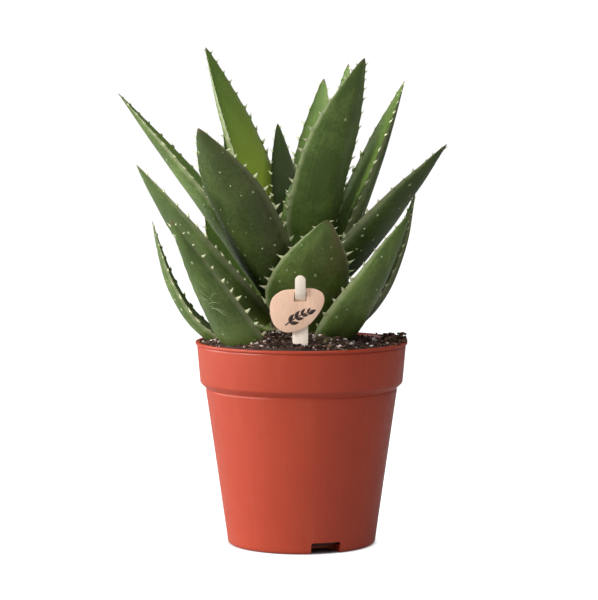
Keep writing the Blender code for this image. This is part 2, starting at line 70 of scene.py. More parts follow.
class Nodes:
    """A node tree with short calls to add nodes and link them."""

    def __init__(self, tree: bpy.types.NodeTree) -> None:
        """Wraps a tree.

        Args:
            tree: the node tree to work in.
        """
        self.tree = tree

    def add(self, kind: str, **settings: object) -> bpy.types.Node:
        """Adds a node.

        Args:
            kind: the node's type name without its ShaderNode prefix.
            settings: properties of the node, such as operation.

        Returns:
            The new node.
        """
        node = self.tree.nodes.new("ShaderNode" + kind)
        for name, value in settings.items():
            setattr(node, name, value)
        return node

    def link(self, start: bpy.types.NodeSocket, end: bpy.types.NodeSocket) -> None:
        """Links one socket to another."""
        self.tree.links.new(start, end)

    def put(self, socket: bpy.types.NodeSocket, value: object) -> None:
        """Links a socket to an input, or sets the input to a number or colour.

        Args:
            socket: the input to fill.
            value: another socket, a number, a colour or a vector.
        """
        if isinstance(value, bpy.types.NodeSocket):
            self.link(value, socket)
        elif isinstance(value, (tuple, list)) and len(value) == 3 and socket.type == "RGBA":
            socket.default_value = (*value, 1.0)
        else:
            socket.default_value = value

    def math(self, operation: str, *values: object) -> bpy.types.NodeSocket:
        """Adds a Math node.

        Args:
            operation: what it does, such as MULTIPLY.
            values: its inputs in order, as sockets or numbers.

        Returns:
            Its result.
        """
        node = self.add("Math", operation=operation)
        for socket, value in zip(node.inputs, values):
            self.put(socket, value)
        return node.outputs[0]

    def mix(self, share: object, first: object, second: object, how: str = "MIX") -> bpy.types.NodeSocket:
        """Mixes two colours.

        Args:
            share: how much of the second colour there is.
            first: the first colour.
            second: the second colour.
            how: the blend type.

        Returns:
            The mixed colour.
        """
        node = self.add("Mix", data_type="RGBA", blend_type=how, clamp_factor=True)
        self.put(node.inputs[0], share)
        self.put(node.inputs[6], first)
        self.put(node.inputs[7], second)
        return node.outputs[2]

    def span(self, value: object, low: float, high: float, start: float = 0.0,
             end: float = 1.0) -> bpy.types.NodeSocket:
        """Maps low..high onto start..end, smoothly and without overshoot.

        Args:
            value: the number to map.
            low: where the range starts.
            high: where the range ends.
            start: the result at low.
            end: the result at high.

        Returns:
            The mapped number.
        """
        node = self.add("MapRange", interpolation_type="SMOOTHSTEP", clamp=True)
        for socket, number in zip(node.inputs, (value, low, high, start, end)):
            self.put(socket, number)
        return node.outputs[0]

    def noise(self, vector: object, scale: object, detail: float = 3.0, rough: float = 0.55,
              twist: float = 0.0) -> bpy.types.NodeSocket:
        """Adds a noise texture.

        Args:
            vector: the coordinates it reads.
            scale: its scale.
            detail: how many octaves it has.
            rough: how strong the fine octaves are.
            twist: its distortion.

        Returns:
            The noise value.
        """
        node = self.add("TexNoise")
        self.put(node.inputs["Vector"], vector)
        self.put(node.inputs["Scale"], scale)
        self.put(node.inputs["Detail"], detail)
        self.put(node.inputs["Roughness"], rough)
        self.put(node.inputs["Distortion"], twist)
        return node.outputs["Fac"]

    def cells(self, vector: object, scale: object) -> bpy.types.NodeSocket:
        """Adds a Voronoi texture.

        Args:
            vector: the coordinates it reads.
            scale: its scale.

        Returns:
            The distance to the nearest cell's middle.
        """
        node = self.add("TexVoronoi")
        self.put(node.inputs["Vector"], vector)
        self.put(node.inputs["Scale"], scale)
        return node.outputs["Distance"]

    def stretch(self, vector: object, scale: Sequence[float]) -> bpy.types.NodeSocket:
        """Scales coordinates.

        Args:
            vector: the coordinates.
            scale: the scale along each axis.

        Returns:
            The new coordinates.
        """
        node = self.add("Mapping")
        self.put(node.inputs["Vector"], vector)
        node.inputs["Scale"].default_value = scale
        return node.outputs[0]

    def axes(self, vector: object) -> bpy.types.bpy_prop_collection:
        """Splits coordinates or a stored triple.

        Args:
            vector: what to split.

        Returns:
            Its X, Y and Z by name.
        """
        node = self.add("SeparateXYZ")
        self.put(node.inputs[0], vector)
        return node.outputs

    def attribute(self, name: str) -> bpy.types.Node:
        """Reads a vertex attribute."""
        return self.add("Attribute", attribute_name=name, attribute_type="GEOMETRY")

    def place(self) -> bpy.types.NodeSocket:
        """Gives the Object coordinates."""
        return self.add("TexCoord").outputs["Object"]

    def bump(self, height: object, distance: float, strength: float = 1.0) -> bpy.types.NodeSocket:
        """Adds a Bump node.

        Args:
            height: the height to read.
            distance: how far a height of 1 stands out, in metres.
            strength: how strongly it shows.

        Returns:
            The normal.
        """
        node = self.add("Bump")
        self.put(node.inputs["Height"], height)
        node.inputs["Distance"].default_value = distance
        node.inputs["Strength"].default_value = strength
        return node.outputs[0]

    def group(self, tree: bpy.types.NodeTree, **values: object) -> bpy.types.Node:
        """Places a shader group.

        Args:
            tree: the group's tree.
            values: its inputs by name.

        Returns:
            The group node.
        """
        node = self.add("Group")
        node.node_tree = tree
        for name, value in values.items():
            self.put(node.inputs[name], value)
        return node


def new_group(name: str, inputs: Dict[str, str], outputs: Dict[str, str]) -> Tuple[Nodes, object, object]:
    """Starts a shader group.

    Args:
        name: the group's name.
        inputs: socket type of each input by name.
        outputs: socket type of each output by name.

    Returns:
        Its nodes, its input node's outputs and its output node's inputs.
    """
    tree = bpy.data.node_groups.new(name, "ShaderNodeTree")
    for label, kind in inputs.items():
        tree.interface.new_socket(label, in_out="INPUT", socket_type=kind)
    for label, kind in outputs.items():
        tree.interface.new_socket(label, in_out="OUTPUT", socket_type=kind)
    nodes = Nodes(tree)
    start = tree.nodes.new("NodeGroupInput")
    end = tree.nodes.new("NodeGroupOutput")
    return nodes, start.outputs, end.inputs


@dataclass
class SharedEffects:
    """Shader groups that several finishes use, each built once."""

    grain: bpy.types.NodeTree = field(init=False)
    mottle: bpy.types.NodeTree = field(init=False)
    dust: bpy.types.NodeTree = field(init=False)

    def __post_init__(self) -> None:
        """Builds every group."""
        self.grain = self._wood_grain()
        self.mottle = self._mottle()
        self.dust = self._dust()

    def _wood_grain(self) -> bpy.types.NodeTree:
        """Fine wood grain along Z: light and dark fibres, and pores.

        Returns:
            The group.
        """
        nodes, start, end = new_group(
            "wood_grain",
            {"Vector": "NodeSocketVector", "Fineness": "NodeSocketFloat"},
            {"Fibres": "NodeSocketFloat", "Pores": "NodeSocketFloat"},
        )
        scaled = nodes.add("VectorMath", operation="SCALE")
        nodes.link(start["Vector"], scaled.inputs[0])
        nodes.link(start["Fineness"], scaled.inputs["Scale"])
        fibre = nodes.stretch(scaled.outputs[0], (1.0, 1.0, 0.06))
        wide = nodes.noise(fibre, 1.0, 4.0, 0.6, 0.4)
        fine = nodes.noise(fibre, 4.5, 3.0, 0.7)
        fibres = nodes.math("ADD", nodes.math("MULTIPLY", wide, 0.6), nodes.math("MULTIPLY", fine, 0.4))
        nodes.link(fibres, end["Fibres"])
        pore = nodes.cells(nodes.stretch(scaled.outputs[0], (1.6, 1.6, 0.22)), 2.2)
        nodes.link(nodes.span(pore, 0.10, 0.02), end["Pores"])
        return nodes.tree

    def _mottle(self) -> bpy.types.NodeTree:
        """Uneven colour in two sizes, centred on a half.

        Returns:
            The group.
        """
        nodes, start, end = new_group(
            "mottle",
            {"Vector": "NodeSocketVector", "Broad": "NodeSocketFloat", "Fine": "NodeSocketFloat"},
            {"Value": "NodeSocketFloat"},
        )
        broad = nodes.noise(start["Vector"], start["Broad"], 2.0, 0.5)
        fine = nodes.noise(start["Vector"], start["Fine"], 5.0, 0.5)
        total = nodes.math("ADD", nodes.math("MULTIPLY", broad, 0.6), nodes.math("MULTIPLY", fine, 0.4))
        nodes.link(nodes.span(total, 0.3, 0.7), end["Value"])
        return nodes.tree

    def _dust(self) -> bpy.types.NodeTree:
        """Grains of soil dust: mostly nothing, with sparse specks.

        Returns:
            The group.
        """
        nodes, start, end = new_group(
            "soil_dust",
            {"Vector": "NodeSocketVector", "Scale": "NodeSocketFloat", "Amount": "NodeSocketFloat"},
            {"Specks": "NodeSocketFloat"},
        )
        cell = nodes.cells(start["Vector"], start["Scale"])
        patch = nodes.noise(start["Vector"], 90.0, 2.0, 0.5)
        reach = nodes.math("MULTIPLY", nodes.math("SUBTRACT", patch, 0.42), start["Amount"])
        nodes.link(nodes.math("LESS_THAN", cell, reach), end["Specks"])
        return nodes.tree


def new_material(name: str) -> Tuple[bpy.types.Material, Nodes, bpy.types.Node]:
    """Starts a material.

    Args:
        name: its name.

    Returns:
        The material, its nodes and its Principled shader.
    """
    material = bpy.data.materials.new(name)
    material.use_nodes = True
    return material, Nodes(material.node_tree), material.node_tree.nodes["Principled BSDF"]


# ----------------------------------------------------------------------------------------------
# Finishes
# ----------------------------------------------------------------------------------------------


@dataclass(frozen=True)
class PotPlastic:
    """Terracotta-coloured moulded plastic with a soft sheen."""

    base: Colour = (0.455, 0.054, 0.021)
    deep: Colour = (0.365, 0.038, 0.014)
    bloom: Colour = (0.520, 0.105, 0.055)
    dirt: Colour = (0.160, 0.070, 0.050)

    def build(self, shared: SharedEffects) -> bpy.types.Material:
        """Makes the material.

        Args:
            shared: the shared shader groups.

        Returns:
            The material.
        """
        material, nodes, shader = new_material("pot_plastic")
        place = nodes.place()
        mottle = nodes.group(shared.mottle, Vector=place, Broad=28.0, Fine=160.0).outputs["Value"]
        colour = nodes.mix(nodes.math("MULTIPLY", mottle, 0.35), self.base, self.deep)
        # Streaks where the plastic flowed up the mould.
        flow = nodes.noise(nodes.stretch(place, (1.0, 1.0, 0.12)), 130.0, 3.0, 0.6)
        colour = nodes.mix(nodes.span(flow, 0.5, 0.72, 0.0, 0.14), colour, self.bloom)
        dust = nodes.group(shared.dust, Vector=place, Scale=900.0, Amount=0.55).outputs["Specks"]
        near_rim = nodes.span(nodes.axes(place)["Z"], 0.070, 0.079)
        dirty = nodes.math("MULTIPLY", nodes.math("MULTIPLY", dust, near_rim), 0.5)
        colour = nodes.mix(dirty, colour, self.dirt)
        nodes.link(colour, shader.inputs["Base Color"])
        rough = nodes.span(nodes.noise(place, 220.0, 4.0), 0.3, 0.7, 0.37, 0.46)
        nodes.link(rough, shader.inputs["Roughness"])
        skin = nodes.noise(place, 2600.0, 2.0)
        ripple = nodes.noise(nodes.stretch(place, (1.0, 1.0, 0.3)), 90.0, 2.0)
        height = nodes.math("ADD", nodes.math("MULTIPLY", skin, 0.12), ripple)
        nodes.link(nodes.bump(height, 0.0003, 0.35), shader.inputs["Normal"])
        shader.inputs["Specular IOR Level"].default_value = 0.40
        return material


@dataclass(frozen=True)
class LeafSkin:
    """Living aloe skin: dark green, paler at the margins, yellow-green inside the rosette, with painted
    shade: purple-brown on each leaf's shaded side and darker over leaves in shade.
    """

    dark: Colour = (0.074, 0.130, 0.022)
    light: Colour = (0.158, 0.245, 0.052)
    inner: Colour = (0.195, 0.345, 0.055)
    glow: Colour = (0.560, 0.700, 0.060)
    # Purple-brown: a little of it the leaf's own tinge, most of it painted shade on the leaf's shaded side.
    blush_and_shade: Colour = (0.175, 0.125, 0.060)
    margin: Colour = (0.330, 0.360, 0.190)
    tip: Colour = (0.200, 0.120, 0.070)
    fleck: Colour = (0.340, 0.400, 0.260)

    def build(self, shared: SharedEffects) -> bpy.types.Material:
        """Makes the material, which reads the leaf's own attributes.

        Args:
            shared: the shared shader groups.

        Returns:
            The material.
        """
        material, nodes, shader = new_material("leaf_skin")
        on_leaf = nodes.attribute("leaf_place").outputs["Vector"]
        tone = nodes.attribute("leaf_tone")
        parts = nodes.add("SeparateColor")
        nodes.link(tone.outputs["Color"], parts.inputs[0])
        glow, blush_and_shade, margin = parts.outputs[0], parts.outputs[1], parts.outputs[2]
        upper = tone.outputs["Alpha"]
        mottle = nodes.group(shared.mottle, Vector=on_leaf, Broad=0.8, Fine=6.0).outputs["Value"]
        colour = nodes.mix(nodes.span(mottle, 0.25, 0.9, 0.1, 0.8), self.dark, self.light)
        inside = nodes.mix(nodes.span(mottle, 0.2, 0.9, 0.75, 1.0), colour, self.inner)
        colour = nodes.mix(nodes.math("MULTIPLY", upper, 0.75), colour, inside)
        # Veins run the length of the leaf.
        veins = nodes.noise(nodes.stretch(on_leaf, (0.12, 3.0, 3.0)), 5.0, 4.0, 0.65)
        colour = nodes.mix(nodes.span(veins, 0.45, 0.75, 0.0, 0.35), colour, self.light)
        colour = nodes.mix(nodes.span(veins, 0.5, 0.25, 0.0, 0.3), colour, self.dark)
        # Purple-brown in patches, mostly painted shade on the side of the leaf turned from the key light.
        patch = nodes.noise(on_leaf, 1.1, 2.0)
        patchy_blush_and_shade = nodes.math("MULTIPLY", blush_and_shade, nodes.span(patch, 0.35, 0.65, 0.35, 1.0))
        colour = nodes.mix(nodes.math("MULTIPLY", patchy_blush_and_shade, 0.85), colour, self.blush_and_shade)
        colour = nodes.mix(glow, colour, self.glow)
        fleck = nodes.cells(nodes.stretch(on_leaf, (5.0, 9.0, 9.0)), 1.0)
        seen = nodes.math("MULTIPLY", nodes.span(fleck, 0.16, 0.08), nodes.span(patch, 0.4, 0.6, 0.1, 0.5))
        colour = nodes.mix(seen, colour, self.fleck)
        colour = nodes.mix(nodes.math("MULTIPLY", margin, 0.75), colour, self.margin)
        # Painted shade: each leaf's deep value darkens its whole colour, more towards its base.
        along = nodes.axes(nodes.attribute("leaf_share").outputs["Vector"])
        shade = nodes.math("SUBTRACT", 1.0, nodes.math("MULTIPLY", along["Z"], 0.62))
        dim = nodes.add("CombineColor")
        for socket in dim.inputs:
            nodes.link(shade, socket)
        colour = nodes.mix(1.0, colour, dim.outputs[0], "MULTIPLY")
        colour = nodes.mix(nodes.span(along["X"], 0.965, 1.0, 0.0, 0.75), colour, self.tip)
        nodes.link(colour, shader.inputs["Base Color"])
        rough = nodes.span(nodes.noise(on_leaf, 9.0, 4.0), 0.3, 0.7, 0.36, 0.54)
        nodes.link(rough, shader.inputs["Roughness"])
        grain = nodes.noise(nodes.stretch(on_leaf, (14.0, 26.0, 26.0)), 1.0, 3.0, 0.7)
        height = nodes.math("ADD", nodes.math("MULTIPLY", grain, 0.35), veins)
        height = nodes.math("ADD", height, nodes.math("MULTIPLY", seen, 0.8))
        nodes.link(nodes.bump(height, 0.0004, 0.5), shader.inputs["Normal"])
        shader.inputs["Specular IOR Level"].default_value = 0.32
        shader.inputs["Subsurface Weight"].default_value = 0.06
        shader.inputs["Subsurface Radius"].default_value = (0.0018, 0.0028, 0.0010)
        return material


@dataclass(frozen=True)
class ToothHorn:
    """Pale horny leaf tooth with a greener foot and a warmer point."""

    horn: Colour = (0.900, 0.900, 0.600)
    foot: Colour = (0.480, 0.580, 0.250)
    point: Colour = (0.850, 0.700, 0.450)

    def build(self) -> bpy.types.Material:
        """Makes the material, which reads how far along the tooth a point is.

        Returns:
            The material.
        """
        material, nodes, shader = new_material("tooth_horn")
        up_tooth = nodes.axes(nodes.attribute("leaf_share").outputs["Vector"])["Y"]
        place = nodes.place()
        colour = nodes.mix(nodes.span(up_tooth, 0.0, 0.4), self.foot, self.horn)
        colour = nodes.mix(nodes.span(up_tooth, 0.7, 1.0, 0.0, 0.5), colour, self.point)
        colour = nodes.mix(nodes.span(nodes.noise(place, 900.0), 0.4, 0.7, 0.0, 0.25), colour, self.foot)
        nodes.link(colour, shader.inputs["Base Color"])
        nodes.link(nodes.span(nodes.noise(place, 1500.0), 0.3, 0.7, 0.38, 0.55), shader.inputs["Roughness"])
        shader.inputs["Subsurface Weight"].default_value = 0.15
        shader.inputs["Subsurface Radius"].default_value = (0.0008, 0.0008, 0.0004)
        return material


@dataclass(frozen=True)
class LeafSpot:
    """Raised whitish spot on the leaf skin."""

    pale: Colour = (0.420, 0.500, 0.270)
    edge: Colour = (0.240, 0.320, 0.140)

    def build(self) -> bpy.types.Material:
        """Makes the material.

        Returns:
            The material.
        """
        material, nodes, shader = new_material("leaf_spot")
        place = nodes.place()
        colour = nodes.mix(nodes.span(nodes.noise(place, 1400.0), 0.35, 0.7), self.pale, self.edge)
        nodes.link(colour, shader.inputs["Base Color"])
        nodes.link(nodes.span(nodes.noise(place, 2000.0), 0.3, 0.7, 0.45, 0.65), shader.inputs["Roughness"])
        return material


@dataclass(frozen=True)
class SoilGrit:
    """Damp potting mix, or one sort of grain in it."""

    name: str
    base: Colour
    other: Colour
    scale: float = 900.0
    rough: Tuple[float, float] = (0.75, 0.95)
    relief: float = 0.0005

    def build(self) -> bpy.types.Material:
        """Makes the material.

        Returns:
            The material.
        """
        material, nodes, shader = new_material(self.name)
        place = nodes.place()
        broad = nodes.noise(place, self.scale * 0.25, 4.0, 0.6)
        fine = nodes.noise(place, self.scale, 5.0, 0.7)
        colour = nodes.mix(nodes.span(broad, 0.35, 0.65), self.base, self.other)
        dark = tuple(0.35 * part for part in self.base)
        colour = nodes.mix(nodes.span(fine, 0.5, 0.25, 0.0, 0.7), colour, dark)
        nodes.link(colour, shader.inputs["Base Color"])
        nodes.link(nodes.span(fine, 0.3, 0.7, *self.rough), shader.inputs["Roughness"])
        nodes.link(nodes.bump(fine, self.relief, 0.8), shader.inputs["Normal"])
        return material


@dataclass(frozen=True)
class StemBark:
    """Green-brown stem skin with dry leaf scars."""

    green: Colour = (0.170, 0.200, 0.070)
    dry: Colour = (0.230, 0.150, 0.085)

    def build(self, shared: SharedEffects) -> bpy.types.Material:
        """Makes the material.

        Args:
            shared: the shared shader groups.

        Returns:
            The material.
        """
        material, nodes, shader = new_material("stem_bark")
        place = nodes.place()
        mottle = nodes.group(shared.mottle, Vector=place, Broad=120.0, Fine=500.0).outputs["Value"]
        rings = nodes.noise(nodes.stretch(place, (0.15, 0.15, 1.0)), 420.0, 3.0)
        colour = nodes.mix(mottle, self.green, self.dry)
        colour = nodes.mix(nodes.span(rings, 0.5, 0.7, 0.0, 0.6), colour, self.dry)
        nodes.link(colour, shader.inputs["Base Color"])
        nodes.link(nodes.span(rings, 0.3, 0.7, 0.6, 0.85), shader.inputs["Roughness"])
        nodes.link(nodes.bump(rings, 0.0008, 0.7), shader.inputs["Normal"])
        return material


@dataclass(frozen=True)
class RawWood:
    """Fine-sanded pale wood."""

    name: str
    light: Colour
    dark: Colour

    def build(self, shared: SharedEffects) -> bpy.types.Material:
        """Makes the material.

        Args:
            shared: the shared shader groups.

        Returns:
            The material.
        """
        material, nodes, shader = new_material(self.name)
        place = nodes.place()
        grain = nodes.group(shared.grain, Vector=place, Fineness=1500.0)
        colour = nodes.mix(nodes.span(grain.outputs["Fibres"], 0.36, 0.66, 0.0, 0.75), self.light, self.dark)
        colour = nodes.mix(nodes.math("MULTIPLY", grain.outputs["Pores"], 0.45), colour, self.dark)
        nodes.link(colour, shader.inputs["Base Color"])
        nodes.link(nodes.span(grain.outputs["Fibres"], 0.3, 0.7, 0.55, 0.75), shader.inputs["Roughness"])
        nodes.link(nodes.bump(grain.outputs["Fibres"], 0.00012, 0.5), shader.inputs["Normal"])
        return material


@dataclass(frozen=True)
class ScorchedPrint:
    """Dark brown mark printed into the wood."""

    ink: Colour = (0.030, 0.016, 0.012)
    worn: Colour = (0.110, 0.060, 0.040)

    def build(self) -> bpy.types.Material:
        """Makes the material.

        Returns:
            The material.
        """
        material, nodes, shader = new_material("scorched_print")
        grain = nodes.noise(nodes.stretch(nodes.place(), (1.0, 1.0, 0.1)), 2600.0, 3.0)
        nodes.link(nodes.mix(nodes.span(grain, 0.5, 0.75), self.ink, self.worn), shader.inputs["Base Color"])
        nodes.link(nodes.span(grain, 0.3, 0.7, 0.6, 0.8), shader.inputs["Roughness"])
        return material


# ----------------------------------------------------------------------------------------------
# Mesh helpers
# ----------------------------------------------------------------------------------------------


class Shading(Enum):
    """How a piece's faces are shaded."""

    SMOOTH = "smooth"
    CREASED = "creased"


def loose_object(name: str, shape: bmesh.types.BMesh) -> bpy.types.Object:
    """Turns a bmesh into an object in the scene.

    Args:
        name: its name.
        shape: its mesh, which is freed.

    Returns:
        The object.
    """
    mesh = bpy.data.meshes.new(name)
    shape.to_mesh(mesh)
    shape.free()
    made = bpy.data.objects.new(name, mesh)
    bpy.context.scene.collection.objects.link(made)
    return made


def finish_piece(name: str, shape: bmesh.types.BMesh, materials: Sequence[bpy.types.Material],
                 stands_for: Optional[str] = None, shading: Shading = Shading.SMOOTH,
                 crease: float = 40.0) -> bpy.types.Object:
    """Turns a bmesh into a finished piece that rides on the part.

    Args:
        name: the piece's name.
        shape: its mesh, which is freed.
        materials: its materials in slot order.
        stands_for: the CAD node that it replaces, if any.
        shading: how its faces are shaded.
        crease: the angle in degrees past which an edge is sharp.

    Returns:
        The object.
    """
    piece = loose_object(name, shape)
    mesh = piece.data
    for material in materials:
        mesh.materials.append(material)
    mesh.shade_smooth()
    if shading is Shading.CREASED:
        mesh.set_sharp_from_angle(angle=math.radians(crease))
    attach(piece, BODY)
    if stands_for is not None:
        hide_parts(stands_for)
    LOG.info("%s: %d faces", name, len(mesh.polygons))
    return piece


def spun(profile: Sequence[Point], turns: int, centre: float = 0.0) -> bmesh.types.BMesh:
    """Spins (radius, height) points about the vertical axis.

    Args:
        profile: the points; it is closed on the axis where it starts and ends there.
        turns: how many steps go round.
        centre: where the axis is along X.

    Returns:
        The closed shape, its faces outwards.
    """
    shape = bmesh.new()
    line = [shape.verts.new((radius, 0.0, height)) for radius, height in profile]
    edges = [shape.edges.new(pair) for pair in zip(line, line[1:])]
    if profile[0][0] > 0:
        edges.append(shape.edges.new((line[-1], line[0])))
    bmesh.ops.spin(shape, geom=line + edges, cent=(0, 0, 0), axis=(0, 0, 1), angle=2 * math.pi,
                   steps=turns, use_merge=True)
    bmesh.ops.remove_doubles(shape, verts=shape.verts, dist=WELD)
    bmesh.ops.translate(shape, verts=shape.verts, vec=(centre, 0, 0))
    bmesh.ops.recalc_face_normals(shape, faces=shape.faces)
    return shape


def rounded(points: Sequence[Point], radii: Sequence[float], steps: int = 4) -> List[Point]:
    """Rounds the corners of an open profile.

    Args:
        points: its corners.
        radii: how far back along each side a corner is rounded; 0 leaves it sharp.
        steps: how many segments each rounding has.

    Returns:
        The rounded profile.
    """
    out: List[Point] = []
    for index, (point, radius) in enumerate(zip(points, radii)):
        if radius <= 0 or index in (0, len(points) - 1):
            out.append(point)
            continue
        here = Vector(point)
        back = Vector(points[index - 1]) - here
        ahead = Vector(points[index + 1]) - here
        reach = min(radius, 0.45 * back.length, 0.45 * ahead.length)
        start = here + back.normalized() * reach
        end = here + ahead.normalized() * reach
        for step in range(steps + 1):
            share = step / steps
            curve = start.lerp(here, share).lerp(here.lerp(end, share), share)
            out.append((curve.x, curve.y))
    return out


def ring_of(shape: bmesh.types.BMesh, count: int) -> Ring:
    """Starts an open ring of vertices, in order."""
    return list(bmesh.ops.create_circle(shape, cap_ends=False, segments=count, radius=1.0)["verts"])


def ring_edges(shape: bmesh.types.BMesh, ring: Ring) -> List[bmesh.types.BMEdge]:
    """Gives the edges between a ring's vertices, all the way round."""
    return [shape.edges.get(pair) for pair in zip(ring, ring[1:] + ring[:1])]


def cap_ring(shape: bmesh.types.BMesh, ring: Ring) -> List[bmesh.types.BMFace]:
    """Closes a ring with a face and gives that face."""
    return bmesh.ops.contextual_create(shape, geom=ring_edges(shape, ring))["faces"]


def faces_of(verts: Sequence[bmesh.types.BMVert]) -> List[bmesh.types.BMFace]:
    """Gives every face that touches some vertices, once each."""
    return list(dict.fromkeys(face for vertex in verts for face in vertex.link_faces))


def extrude_ring(shape: bmesh.types.BMesh, ring: Ring) -> Ring:
    """Extrudes a closed ring of vertices once.

    Args:
        shape: the mesh.
        ring: the ring's vertices in order.

    Returns:
        The new ring, in the same order.
    """
    made = bmesh.ops.extrude_edge_only(shape, edges=ring_edges(shape, ring))
    fresh = {item for item in made["geom"] if isinstance(item, bmesh.types.BMVert)}
    grown = []
    for vertex in ring:
        grown.append(next(edge.other_vert(vertex) for edge in vertex.link_edges
                          if edge.other_vert(vertex) in fresh))
    return grown


# ----------------------------------------------------------------------------------------------
# Leaves
# ----------------------------------------------------------------------------------------------


@dataclass(frozen=True)
class LeafSize:
    """One leaf: its line and section in millimetres and degrees, and its looks.

    azimuth is where it points; base is its height over the rim at the stem; rise_base and rise_tip
    are its slopes; flat is the share of its length with the first slope and turn the share over
    which it changes; roll turns it round its own line; neck and taper shape its outline. channel
    is how hollow its upper face is and keel how sharply its underside is ridged; glow and spots are
    how yellow-green and spotted it is; blush is purple-brown, a little of it the leaf's own tinge and
    most of it painted shade on its right-hand side, turned from the key light; deep is painted shade
    that darkens the whole leaf, most towards its base; scratches counts its scars.
    """

    name: str
    azimuth: float
    base: float
    length: float
    width: float
    thickness: float
    rise_base: float
    rise_tip: float
    flat: float = 0.0
    turn: float = 1.0
    roll: float = 0.0
    neck: float = 0.5
    taper: float = 0.55
    channel: float = 0.30
    keel: float = 0.25
    glow: float = 0.0
    blush_and_shade: float = 0.2
    deep: float = 0.2
    spots: float = 1.0
    scratches: int = 0


# The blush and deep values paint shade onto the leaves that stand in shade in the rosette.
LEAF_SIZES = (
    LeafSize("leaf_low_left", 178, -1.7, 73.4, 18, 5, 7, 71.7, 0.13, 0.78, 0, 0.4, 0.8, blush_and_shade=0.1),
    LeafSize("leaf_low_front_left", 230, -8, 86, 24, 7, 18, 49, 0.08, 0.3, 0, 0.4, 0.9, blush_and_shade=0.05,
             deep=0.45, scratches=9),
    LeafSize("leaf_low_front", 286, 4, 59, 33, 7, 74, 41, 0.0, 1.0, 0, 0.4, 0.7, blush_and_shade=0.5, keel=0.5,
             deep=0.0, spots=1.3),
    LeafSize("leaf_low_front_right", 322, -8, 76, 27, 8, 54, 52, 0.1, 0.3, 0, 0.45, 0.85, blush_and_shade=0.3,
             keel=0.35, deep=0.0),
    LeafSize("leaf_low_right", 18, 0, 73, 18, 5, 28, 72, 0.1, 0.9, 0, 0.35, 0.7, blush_and_shade=0.6, deep=0.5),
    LeafSize("leaf_low_back_right", 76, 4, 72, 21, 6, 15, 50, 0.15, 0.4, 0, 0.3, 0.6),
    LeafSize("leaf_low_back_left", 126, 4, 72, 21, 6, 15, 52, 0.15, 0.4, 0, 0.3, 0.6),
    LeafSize("leaf_middle_front_left", 203, 10, 82, 27, 8, 41, 50, 0.0, 1.0, 0, 0.3, 0.5, blush_and_shade=0.1,
             deep=0.45),
    LeafSize("leaf_middle_front_right", 331, 17, 84, 25, 8, 56, 42, 0.0, 1.0, 0, 0.3, 0.65, blush_and_shade=0.3,
             deep=0.75, spots=1.3),
    LeafSize("leaf_middle_left", 174, 20, 99, 23, 8, 65, 45, 0.0, 1.0, 0, 0.4, 0.65, blush_and_shade=0.15, keel=0.4,
             deep=0.05),
    LeafSize("leaf_tall_front_left", 237, 17, 88, 27, 9, 65, 43, 0.0, 1.0, 0, 0.45, 0.45, blush_and_shade=0.25,
             keel=0.3, deep=0.8, spots=1.5),
    LeafSize("leaf_middle_right", 17, 21, 89, 22, 8, 70, 63, 0.0, 1.0, 0, 0.4, 0.55, blush_and_shade=0.3, deep=0.4),
    LeafSize("leaf_middle_back_right", 56, 13, 66, 18, 7, 38, 55, 0.0, 1.0, 0, 0.35, 0.6),
    LeafSize("leaf_middle_back", 96, 9.5, 74, 17, 7, 30, 55, 0.0, 1.0, 0, 0.3, 0.6),
    LeafSize("leaf_middle_back_left", 122, 16, 80, 19, 7, 60, 54, 0.0, 1.0, 0, 0.35, 0.6),
    LeafSize("leaf_tall_right", 311, 26, 92, 26, 9, 93, 57, 0.0, 1.0, 0, 0.55, 0.5, blush_and_shade=0.15,
             keel=0.6, deep=0.1, spots=0.4),
    LeafSize("leaf_tall_left", 144, 30, 93, 21, 8, 82, 60, 0.0, 1.0, 0, 0.35, 0.55, glow=1.0, deep=0.0,
             spots=0.3),
    LeafSize("leaf_inner_back_right", 36.5, 31, 80, 18, 7, 75, 77, 0.0, 1.0, 0, 0.33, 0.55, glow=0.2,
             deep=0.3),
    LeafSize("leaf_inner_back", 72.5, 23, 86, 18, 7, 71, 67, 0.0, 1.0, 0, 0.33, 0.55, glow=0.2),
    LeafSize("leaf_slender_back", 112, 40, 47, 11, 4, 78, 71, 0.0, 1.0, 0, 0.5, 0.6, deep=1.3),
    LeafSize("heart_leaf_front", 262, 38, 24, 8, 4, 84, 86, 0.0, 1.0, 0, 0.5, 0.7, glow=0.4),
    LeafSize("heart_leaf_right", 10, 39, 22, 7, 4, 84, 86, 0.0, 1.0, 0, 0.5, 0.7, glow=0.4),
)


@dataclass(frozen=True)
class LeafPoint:
    """A place on a leaf's line, with the directions across it and out of its upper face."""

    place: Vector
    side: Vector
    face: Vector
    along: Vector


